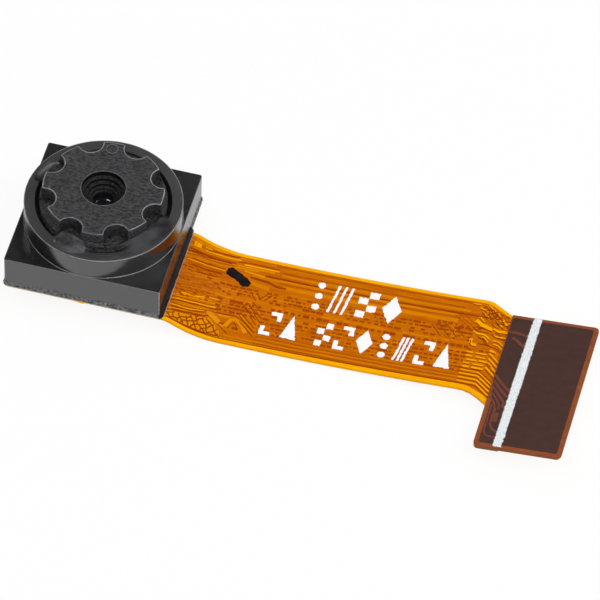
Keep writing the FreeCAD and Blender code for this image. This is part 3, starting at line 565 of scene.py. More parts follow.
def makeHolder(sizes):
    corner = sizes["cornerRadius"]
    edge = sizes["topEdge"]
    top = sizes["baseTop"]
    body = stacked("holder_moulding", [
        (roundedSquare(baseHalf, corner), holderFoot),
        (roundedSquare(baseHalf, corner), top - edge),
        (roundedSquare(baseHalf - edge, corner - edge), top),
    ])
    radius = sizes["collarRadius"]
    foot = sizes["collarFoot"]
    sunk = sizes["collarSunk"]
    collar = turned("collar", [
        (0.0, top - sizes["collarRoot"]),
        (radius - foot, top - sizes["collarRoot"]),
        (radius - foot, top - sunk),
        (radius + foot, top - sunk),
        (radius + foot, top),
        (radius + foot / 3, top + foot / 3),
        (radius, top + foot),
        (radius, rimTop - sizes["rimEdge"]),
        (radius - sizes["rimEdge"] / 3, rimTop - sizes["rimEdge"] / 3),
        (radius - sizes["rimEdge"], rimTop),
        (0.0, rimTop),
    ], sizes["spin"])
    combine(body, collar, "UNION")
    over = 0.1
    lead = sizes["boreLead"]
    bore = turned("bore", [
        (0.0, sizes["webHigh"]),
        (sizes["boreRadius"], sizes["webHigh"]),
        (sizes["boreRadius"], rimTop - lead),
        (sizes["boreRadius"] + lead + over, rimTop + over),
        (0.0, rimTop + over),
    ], sizes["spin"])
    combine(body, bore, "DIFFERENCE")
    cavity = stacked("cavity", [
        (roundedSquare(sizes["cavityHalf"], sizes["cavityCorner"]), holderFoot - over),
        (roundedSquare(sizes["cavityHalf"], sizes["cavityCorner"]), sizes["webLow"]),
    ])
    combine(body, cavity, "DIFFERENCE")
    window = turned("window", [
        (0.0, sizes["webLow"] - over),
        (sizes["windowRadius"], sizes["webLow"] - over),
        (sizes["windowRadius"], sizes["webHigh"] + over),
        (0.0, sizes["webHigh"] + over),
    ], sizes["windowSpin"])
    combine(body, window, "DIFFERENCE")
    finishPiece(body, "holder", "holder_black", "lens_holder", sharp=20, weighted=True)


makeHolder(holder)
print("holder made")


# Lens barrel: stepped hood, eight scalloped notches, thread below the head
barrel = {
    "radius": 3.18,
    "headRadius": 3.05,
    "headEdge": 0.07,
    "shoulderHigh": 0.58,
    "shoulderLow": 0.8,
    "threadTop": 0.9,
    "threadPitch": 0.12,
    "threadDepth": 0.05,
    "threadTurns": 9,
    "notchAngle": 27.6,
    "notches": 8,
    "notchRadius": 0.62,
    "notchFlare": 0.06,
    "notchDepth": 0.85,
    "floorRings": (2.72, 2.86, 3.0),
    "floorRingHeight": 0.02,
    "floorRingHalf": 0.03,
    "floorRingRoot": 0.06,
    "markAngle": 96.3,
    "markReach": 2.61,
    "markRadius": 0.29,
    "markDepth": 0.02,
    "footEdge": 0.1,
    "spin": 256,
    "ringSpin": 192,
    "notchSpin": 64,
    # the hood from the lens opening up: radius, depth below the face
    "hood": ((0.53, 1.0), (0.53, 0.9), (0.63, 0.84), (0.63, 0.76), (0.78, 0.7), (0.78, 0.58),
             (0.93, 0.52), (0.93, 0.36), (1.1, 0.3), (1.1, 0.04), (1.14, 0.0)),
    # the seats behind the lens: radius, height
    "seats": ((2.2, 2.78), (2.2, 3.35), (1.85, 3.35), (1.85, 3.75), (1.5, 3.75), (1.5, 4.08)),
}


def makeBarrel(sizes):
    top = barrelTop
    profile = [(radius, top - depth) for radius, depth in sizes["hood"]]
    profile += [
        (sizes["headRadius"] - sizes["headEdge"], top),
        (sizes["headRadius"] - sizes["headEdge"] / 3, top - sizes["headEdge"] / 3),
        (sizes["headRadius"], top - sizes["headEdge"]),
        (sizes["headRadius"], top - sizes["shoulderHigh"]),
        (sizes["radius"], top - sizes["shoulderLow"]),
    ]
    for turn in range(sizes["threadTurns"]):
        height = top - sizes["threadTop"] - turn * sizes["threadPitch"]
        profile += [
            (sizes["radius"], height),
            (sizes["radius"] - sizes["threadDepth"], height - sizes["threadPitch"] / 2),
        ]
    profile += [(sizes["radius"] - sizes["footEdge"], barrelFoot)]
    profile += sizes["seats"]
    body = turned("barrel_moulding", profile, sizes["spin"])
    floor = top - sizes["notchDepth"]
    over = 0.2
    cutters = bmesh.new()
    for k in range(sizes["notches"]):
        angle = math.radians(sizes["notchAngle"] + 360 / sizes["notches"] * k)
        centre = (sizes["headRadius"] * math.cos(angle), sizes["headRadius"] * math.sin(angle))
        turnInto(cutters, [
            (0.0, floor),
            (sizes["notchRadius"], floor),
            (sizes["notchRadius"], top - sizes["notchFlare"]),
            (sizes["notchRadius"] + sizes["notchFlare"] + over, top + over),
            (0.0, top + over),
        ], sizes["notchSpin"], centre)
    combine(body, meshObject("notch_cutters", cutters), "DIFFERENCE")
    rings = bmesh.new()
    low = floor - sizes["floorRingRoot"]
    half = sizes["floorRingHalf"]
    for radius in sizes["floorRings"]:
        turnInto(rings, [
            (radius - half, low), (radius + half, low), (radius, floor + sizes["floorRingHeight"]),
        ], sizes["ringSpin"])
    combine(body, meshObject("floor_rings", rings), "UNION")
    angle = math.radians(sizes["markAngle"])
    mark = turned("mark", [
        (0.0, top - sizes["markDepth"]),
        (sizes["markRadius"], top - sizes["markDepth"]),
        (sizes["markRadius"] + over, top + over),
        (0.0, top + over),
    ], sizes["notchSpin"], (sizes["markReach"] * math.cos(angle), sizes["markReach"] * math.sin(angle)))
    combine(body, mark, "DIFFERENCE")
    finishPiece(body, "barrel", "barrel_black", "lens_barrel", sharp=20, weighted=True)


makeBarrel(barrel)


# Front lens: the domed glass at the bottom of the hood
frontLens = {
    "face": 4.08,
    "dome": 0.08,
    "domeRadius": 0.51,
    "flange": 1.48,
    "back": 3.78,
    "steps": 16,
    "spin": 96,
}


def makeFrontLens(sizes):
    curve = (sizes["domeRadius"] ** 2 + sizes["dome"] ** 2) / (2 * sizes["dome"])
    profile = []
    for step in range(sizes["steps"] + 1):
        radius = sizes["domeRadius"] * step / sizes["steps"]
        height = sizes["face"] + sizes["dome"] - curve + math.sqrt(curve ** 2 - radius ** 2)
        profile.append((radius, height))
    profile += [(sizes["flange"], sizes["face"]), (sizes["flange"], sizes["back"]), (0.0, sizes["back"])]
    glass = turned("front_glass", profile, sizes["spin"])
    finishPiece(glass, "lens", "lens_glass", "front_lens", sharp=50)


makeFrontLens(frontLens)
print("barrel and front lens made")


# Side view of the flexible circuit, the same path as in the CAD model
filmPath = {
    "drop": 27.0,
    "rise": 5.5,
    "bend": 1.0,
    "sag": 5.0,
    "lift": 150.0,
    # places where the film is cut across, so that it can follow the bends
    "bendStep": 0.1,
    "bendStations": 34,
    "farStep": 0.8,
}
filmTop = 0.15
# layer: CAD node, its two heights above the film's underside, how far it is pulled in
filmLayers = {
    "bottom_film": ("bottom_coverlay", 0.0, 0.05, 0.0),
    "core_film": ("flex_base_film", 0.05, 0.1, 0.012),
    "top_film": ("top_coverlay", 0.1, filmTop, 0.0),
}


def filmLowX():
    drop = math.radians(filmPath["drop"])
    bends = filmPath["bend"] + filmPath["sag"]
    straight = (padUnderside - bends * (1 - math.cos(drop))) / math.sin(drop)
    return baseHalf + bends * math.sin(drop) + straight * math.cos(drop)


lowX = filmLowX()


def filmHeight(x, up):
    # Height of the film at a place along it, for a surface that far above its underside
    drop = math.radians(filmPath["drop"])
    rise = math.radians(filmPath["rise"])
    bend = filmPath["bend"] + up
    sag = filmPath["sag"] - up
    lift = filmPath["lift"] - up
    bendEnd = baseHalf + bend * math.sin(drop)
    sagStart = lowX - sag * math.sin(drop)
    liftEnd = lowX + lift * math.sin(rise)
    if x <= baseHalf:
        return padUnderside + up
    if x <= bendEnd:
        return padUnderside - filmPath["bend"] + math.sqrt(bend ** 2 - (x - baseHalf) ** 2)
    if x <= sagStart:
        start = padUnderside - filmPath["bend"] + bend * math.cos(drop)
        return start - (x - bendEnd) * math.tan(drop)
    if x <= lowX:
        return filmPath["sag"] - math.sqrt(sag ** 2 - (x - lowX) ** 2)
    if x <= liftEnd:
        return filmPath["lift"] - math.sqrt(lift ** 2 - (x - lowX) ** 2)
    end = filmPath["lift"] - lift * math.cos(rise)
    return end + (x - liftEnd) * math.tan(rise)


# Plan of the flexible circuit
plan = {
    "padCorner": 0.15,
    "neckTop": 1.8,
    "neckFillet": 0.9,
    "rootFillet": 0.1,
    "chamferRun": 1.2,
    "flareRun": 1.1,
    "flareDrop": 0.75,
    "flareRadius": 1.8,
    "flareCorner": 0.3,
    "tongueCorner": 0.25,
    "windowHalf": 3.1,
    "windowCut": (0.5, 1.5),
    "contactsFrom": 22.083,
}
tongueStart, tongueBottom = tongueLow[0], tongueLow[1]
tongueEnd, tongueTop = tongueHigh[0], tongueHigh[1]


def roundedOutline(corners, stepAngle=10.0):
    points = []
    count = len(corners)
    for i, (x, y, radius) in enumerate(corners):
        here = Vector((x, y))
        if not radius:
            points.append((x, y))
            continue
        back = (Vector(corners[i - 1][:2]) - here).normalized()
        ahead = (Vector(corners[(i + 1) % count][:2]) - here).normalized()
        half = back.angle(ahead) / 2
        centre = here + (back + ahead).normalized() * (radius / math.sin(half))
        begin = here + back * (radius / math.tan(half)) - centre
        sweep = begin.angle_signed(here + ahead * (radius / math.tan(half)) - centre)
        steps = max(2, round(abs(math.degrees(sweep)) / stepAngle))
        for step in range(steps + 1):
            angle = -sweep * step / steps
            turnedTo = Vector((
                begin.x * math.cos(angle) - begin.y * math.sin(angle),
                begin.x * math.sin(angle) + begin.y * math.cos(angle)))
            points.append(tuple(centre + turnedTo))
    return points


def circuitOutline(inset):
    # The film's plan, pulled in all round by the inset
    pad = baseHalf - inset
    neckTop = plan["neckTop"] - inset
    start, end = tongueStart + inset, tongueEnd - inset
    low, high = tongueBottom + inset, tongueTop - inset
    return roundedOutline([
        (-pad, -pad, plan["padCorner"]),
        (tongueStart - plan["flareRun"], -pad, plan["flareRadius"]),
        (start, -pad - plan["flareDrop"], plan["flareCorner"]),
        (start, low, plan["tongueCorner"]),
        (end, low, plan["tongueCorner"]),
        (end, high, plan["tongueCorner"]),
        (tongueStart, high, 0.0),
        (tongueStart - plan["chamferRun"], neckTop, plan["neckFillet"]),
        (pad, neckTop, plan["rootFillet"]),
        (pad, pad, plan["padCorner"]),
        (-pad, pad, plan["padCorner"]),
    ])


def bendStations():
    count = filmPath["bendStations"]
    stations = [baseHalf + filmPath["bendStep"] * k for k in range(count)]
    x = stations[-1] + filmPath["farStep"]
    while x < tongueEnd:
        stations.append(x)
        x += filmPath["farStep"]
    return stations


def slabInto(bm, outline, low, high, stations):
    # A plan outline laid on the film as a closed slab between two heights
    part = bmesh.new()
    part.faces.new([part.verts.new((x, y, 0.0)) for x, y in outline])
    xs = [x for x, y in outline]
    margin = 1e-4
    for x in stations:
        if min(xs) + margin < x < max(xs) - margin:
            everything = part.verts[:] + part.edges[:] + part.faces[:]
            bmesh.ops.bisect_plane(
                part, geom=everything, dist=1e-6, plane_co=(x, 0, 0), plane_no=(1, 0, 0))
    bottom = {}
    top = {}
    for vertex in part.verts:
        x, y, z = vertex.co
        bottom[vertex] = bm.verts.new((x * mm, y * mm, filmHeight(x, low) * mm))
        top[vertex] = bm.verts.new((x * mm, y * mm, filmHeight(x, high) * mm))
    for face in part.faces:
        bm.faces.new([top[v] for v in face.verts])
        bm.faces.new([bottom[v] for v in reversed(face.verts)])
    for edge in part.edges:
        if len(edge.link_faces) == 1:
            a, b = edge.verts
            bm.faces.new([bottom[a], bottom[b], top[b], top[a]])
    part.free()


def laidPiece(name, outlines, low, high):
    bm = bmesh.new()
    stations = bendStations()
    for outline in outlines:
        slabInto(bm, outline, low, high, stations)
    return meshObject(name, bm)


def boxTool(name, xs, ys, zs):
    corners = [(xs[0], ys[0]), (xs[1], ys[0]), (xs[1], ys[1]), (xs[0], ys[1])]
    return stacked(name, [(corners, zs[0]), (corners, zs[1])])


def makeFilm(layers):
    made = {}
    half = plan["windowHalf"]
    over = 1.0
    for name, (node, low, high, inset) in layers.items():
        piece = laidPiece(name, [circuitOutline(inset)], low, high)
        if name == "top_film":
            window = boxTool("window", (-half, half), (-half, half), plan["windowCut"])
            combine(piece, window, "DIFFERENCE")
        if name == "bottom_film":
            bare = boxTool(
                "contact_side", (plan["contactsFrom"], tongueEnd + over),
                (tongueBottom - over, tongueTop + over), (-over, 2 * over))
            combine(piece, bare, "DIFFERENCE")
        made[name] = finishPiece(piece, "film", "amber_film", node)
    return made


films = makeFilm(filmLayers)
print("film layers made")


# Film over copper: the wide orange field, a hair proud of the bare film
copperField = {
    "start": 4.0,
    "top": 1.6,
    "bottom": -3.72,
    "corner": 0.9,
    "flareTurn": 19.6,
    "flareRadius": 2.0,
    "chamferTurn": 19.55,
    "endTop": 0.84,
    "endBottom": -4.35,
    "low": 0.146,
    "high": 0.157,
}


def makeCopperField(sizes):
    outline = roundedOutline([
        (sizes["start"], sizes["bottom"], 0.0),
        (sizes["flareTurn"], sizes["bottom"], sizes["flareRadius"]),
        (tongueStart, sizes["endBottom"], 0.0),
        (tongueStart, sizes["endTop"], 0.0),
        (sizes["chamferTurn"], sizes["top"], sizes["corner"]),
        (sizes["start"], sizes["top"], 0.0),
    ])
    field = laidPiece("copper_field", [outline], sizes["low"], sizes["high"])
    finishPiece(field, "copperFilm", "amber_film")


makeCopperField(copperField)


# Tongue: brown plate with a reddish edge, and the darker field over its contacts
tongue = {
    "low": filmTop,
    "high": 0.25,
    # left, right, bottom, top
    "fieldInset": (0.04, 0.25, 0.22, 0.18),
    "fieldCorner": 0.12,
    "fieldSunk": 0.004,
    "fieldHigh": 0.256,
    # the field's left side steps in below, between these two heights of the plan
    "stepIn": 0.2,
    "stepTop": -3.2,
    "stepBottom": -4.6,
    "stepRadius": 0.4,
}


def makeTongue(sizes):
    corner = plan["tongueCorner"]
    plate = roundedOutline([
        (tongueStart, tongueBottom, corner),
        (tongueEnd, tongueBottom, corner),
        (tongueEnd, tongueTop, corner),
        (tongueStart, tongueTop, 0.0),
    ])
    plateObject = finishPiece(
        laidPiece("tongue_plate", [plate], sizes["low"], sizes["high"]),
        "tongueEdge", "brown_film", "tongue_stiffener")
    left, right, bottom, top = sizes["fieldInset"]
    fieldCorner = sizes["fieldCorner"]
    field = roundedOutline([
        (tongueStart + left + sizes["stepIn"], tongueBottom + bottom, fieldCorner),
        (tongueEnd - right, tongueBottom + bottom, fieldCorner),
        (tongueEnd - right, tongueTop - top, fieldCorner),
        (tongueStart + left, tongueTop - top, fieldCorner),
        (tongueStart + left, sizes["stepTop"], sizes["stepRadius"]),
        (tongueStart + left + sizes["stepIn"], sizes["stepBottom"], sizes["stepRadius"]),
    ])
    fieldLow = sizes["high"] - sizes["fieldSunk"]
    fieldPiece = laidPiece("tongue_field", [field], fieldLow, sizes["fieldHigh"])
    finishPiece(fieldPiece, "tongue", "brown_film")
    return plateObject


tonguePlate = makeTongue(tongue)
print("tongue made")


# Node trees that lay drawn lines on a surface below them
laying = {
    # the height that lines are dropped from, how far they may fall, and how deep they sink in
    "from": 50.0,
    "fall": 100.0,
    "sunk": 0.01,
    # least and most length of a dash in pitches, and breadth in widths
    "dashLength": (0.35, 1.05),
    "dashBreadth": (0.7, 1.3),
    "dashDepth": 0.1,
}


def newTree(name, inputs):
    tree = bpy.data.node_groups.new(name, "GeometryNodeTree")
    tree.is_modifier = True
    ends = addSockets(
        tree, [("Lines", "Geometry", None), *inputs, ("Material", "Material", None)],
        [("Laid", "Geometry")])
    return tree, *ends


def endTree(tree, given, result, mesh):
    paint = addNode(tree, "GeometryNodeSetMaterial")
    connect(tree, (mesh, 0, paint, "Geometry"), (given, "Material", paint, "Material"),
            (paint, 0, result, 0))
    return tree


def sweepLines(tree, curve, section):
    # A section swept along each curve, as wide as the line was drawn
    width = addNode(tree, "GeometryNodeInputNamedAttribute", {"Name": "width"}, data_type="FLOAT")
    mesh = addNode(tree, "GeometryNodeCurveToMesh", {"Fill Caps": True})
    connect(tree, (curve, 0, mesh, "Curve"), (section, 0, mesh, "Profile Curve"),
            (width, "Attribute", mesh, "Scale"))
    return mesh


def layOnSurface(tree, given, mesh):
    # Drops a flat mesh drawn at height zero: what was above zero becomes its upper side
    info = addNode(tree, "GeometryNodeObjectInfo", transform_space="RELATIVE")
    place = addNode(tree, "GeometryNodeInputPosition")
    lifted = addNode(tree, "ShaderNodeVectorMath", {1: (0, 0, laying["from"] * mm)}, operation="ADD")
    ray = addNode(tree, "GeometryNodeRaycast", {
        "Ray Direction": (0, 0, -1), "Ray Length": laying["fall"] * mm})
    parts = addNode(tree, "ShaderNodeSeparateXYZ")
    hit = addNode(tree, "ShaderNodeSeparateXYZ")
    upper = addNode(tree, "FunctionNodeCompare", {1: 0.0}, operation="GREATER_THAN")
    offset = addNode(tree, "ShaderNodeMath", operation="MULTIPLY")
    sunk = addNode(tree, "ShaderNodeMath", {1: -laying["sunk"] * mm}, operation="ADD")
    height = addNode(tree, "ShaderNodeMath", operation="ADD")
    joined = addNode(tree, "ShaderNodeCombineXYZ")
    move = addNode(tree, "GeometryNodeSetPosition")
    connect(
        tree,
        (given, "Surface", info, "Object"),
        (info, "Geometry", ray, "Target Geometry"),
        (place, 0, lifted, 0),
        (lifted, 0, ray, "Source Position"),
        (place, 0, parts, 0),
        (ray, "Hit Position", hit, 0),
        (parts, "Z", upper, 0),
        (upper, 0, offset, 0),
        (given, "Lift", offset, 1),
        (hit, "Z", sunk, 0),
        (sunk, 0, height, 0),
        (offset, 0, height, 1),
        (parts, "X", joined, "X"),
        (parts, "Y", joined, "Y"),
        (height, 0, joined, "Z"),
        (mesh, 0, move, "Geometry"),
        (joined, 0, move, "Position"))
    return move


def makeRibbonTree():
    # Each drawn line becomes a flat ribbon of its own width
    tree, given, result = newTree("laid_ribbons", [
        ("Surface", "Object", None),
        ("Lift", "Float", 0.02 * mm),
        ("Corner", "Float", 0.15 * mm),
        ("Spacing", "Float", 0.12 * mm),
    ])
    curve = addNode(tree, "GeometryNodeMeshToCurve")
    rounded = addNode(tree, "GeometryNodeFilletCurve", {"Count": 4, "Limit Radius": True}, mode="POLY")
    spaced = addNode(tree, "GeometryNodeResampleCurve", mode="LENGTH")
    flat = addNode(tree, "GeometryNodeSetCurveNormal", mode="Z_UP")
    section = addNode(tree, "GeometryNodeCurvePrimitiveQuadrilateral", {"Width": 1.0, "Height": 1.0})
    connect(
        tree,
        (given, "Lines", curve, "Mesh"),
        (curve, 0, rounded, "Curve"),
        (given, "Corner", rounded, "Radius"),
        (rounded, 0, spaced, "Curve"),
        (given, "Spacing", spaced, "Length"),
        (spaced, 0, flat, "Curve"))
    mesh = sweepLines(tree, flat, section)
    return endTree(tree, given, result, layOnSurface(tree, given, mesh))


def makeDashTree():
    # Short dashes at a regular pitch along each drawn line, some left out
    tree, given, result = newTree("laid_dashes", [
        ("Surface", "Object", None),
        ("Lift", "Float", 0.02 * mm),
        ("Pitch", "Float", 0.36 * mm),
        ("Width", "Float", 0.06 * mm),
        ("Kept", "Float", 0.7),
        ("Seed", "Int", 1),
    ])
    curve = addNode(tree, "GeometryNodeMeshToCurve")
    points = addNode(tree, "GeometryNodeCurveToPoints", mode="LENGTH")
    kept = addNode(tree, "FunctionNodeRandomValue", data_type="BOOLEAN")
    shortest, longest = laying["dashLength"]
    thinnest, broadest = laying["dashBreadth"]
    length = addNode(tree, "FunctionNodeRandomValue", {2: shortest, 3: longest}, data_type="FLOAT")
    breadth = addNode(tree, "FunctionNodeRandomValue", {2: thinnest, 3: broadest}, data_type="FLOAT")
    lengths = addNode(tree, "ShaderNodeMath", operation="MULTIPLY")
    breadths = addNode(tree, "ShaderNodeMath", operation="MULTIPLY")
    size = addNode(tree, "ShaderNodeCombineXYZ", {"Z": laying["dashDepth"] * mm})
    brick = addNode(tree, "GeometryNodeMeshCube", {"Size": (1, 1, 1)})
    bricks = addNode(tree, "GeometryNodeInstanceOnPoints")
    real = addNode(tree, "GeometryNodeRealizeInstances")
    connect(
        tree,
        (given, "Lines", curve, "Mesh"),
        (curve, 0, points, "Curve"),
        (given, "Pitch", points, "Length"),
        (given, "Kept", kept, "Probability"),
        (given, "Seed", kept, "Seed"),
        (given, "Seed", length, "Seed"),
        (given, "Seed", breadth, "Seed"),
        (length, 1, lengths, 0),
        (given, "Pitch", lengths, 1),
        (breadth, 1, breadths, 0),
        (given, "Width", breadths, 1),
        (lengths, 0, size, "X"),
        (breadths, 0, size, "Y"),
        (points, "Points", bricks, "Points"),
        (kept, 3, bricks, "Selection"),
        (brick, "Mesh", bricks, "Instance"),
        (size, 0, bricks, "Scale"),
        (bricks, 0, real, 0))
    return endTree(tree, given, result, layOnSurface(tree, given, real))


def drawnObject(name, verts, edges, widths):
    # Loose edges, with the width to grow at each point
    mesh = bpy.data.meshes.new(name)
    mesh.from_pydata([(x * mm, y * mm, z * mm) for x, y, z in verts], edges, [])
    width = mesh.attributes.new("width", "FLOAT", "POINT")
    width.data.foreach_set("value", [value * mm for value in widths])
    return addObject(name, mesh)


def lineObject(name, lines):
    # Drawn lines: each is (width, point, point, ...)
    verts = []
    edges = []
    widths = []
    for width, *points in lines:
        first = len(verts)
        verts += [(x, y, 0.0) for x, y in points]
        widths += [width] * len(points)
        edges += [(first + k, first + k + 1) for k in range(len(points) - 1)]
    return drawnObject(name, verts, edges, widths)


def growLines(obj, tree, finish, slot, **values):
    values["Material"] = finishes[finish]
    grow = obj.modifiers.new("grow", "NODES")
    grow.node_group = tree
    for item in tree.interface.items_tree:
        if item.in_out == "INPUT" and item.name in values:
            grow[item.identifier] = values[item.name]
    applyModifiers(obj)
    obj.data.validate()
    obj.data.shade_flat()
    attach(obj, "root")
    return obj


def growOnFilm(name, lines, tree, finish, lift, **values):
    growLines(lineObject(name, lines), tree, finish, "amber_film",
              Surface=films["top_film"], Lift=lift * mm, **values)


ribbonTree = makeRibbonTree()
dashTree = makeDashTree()


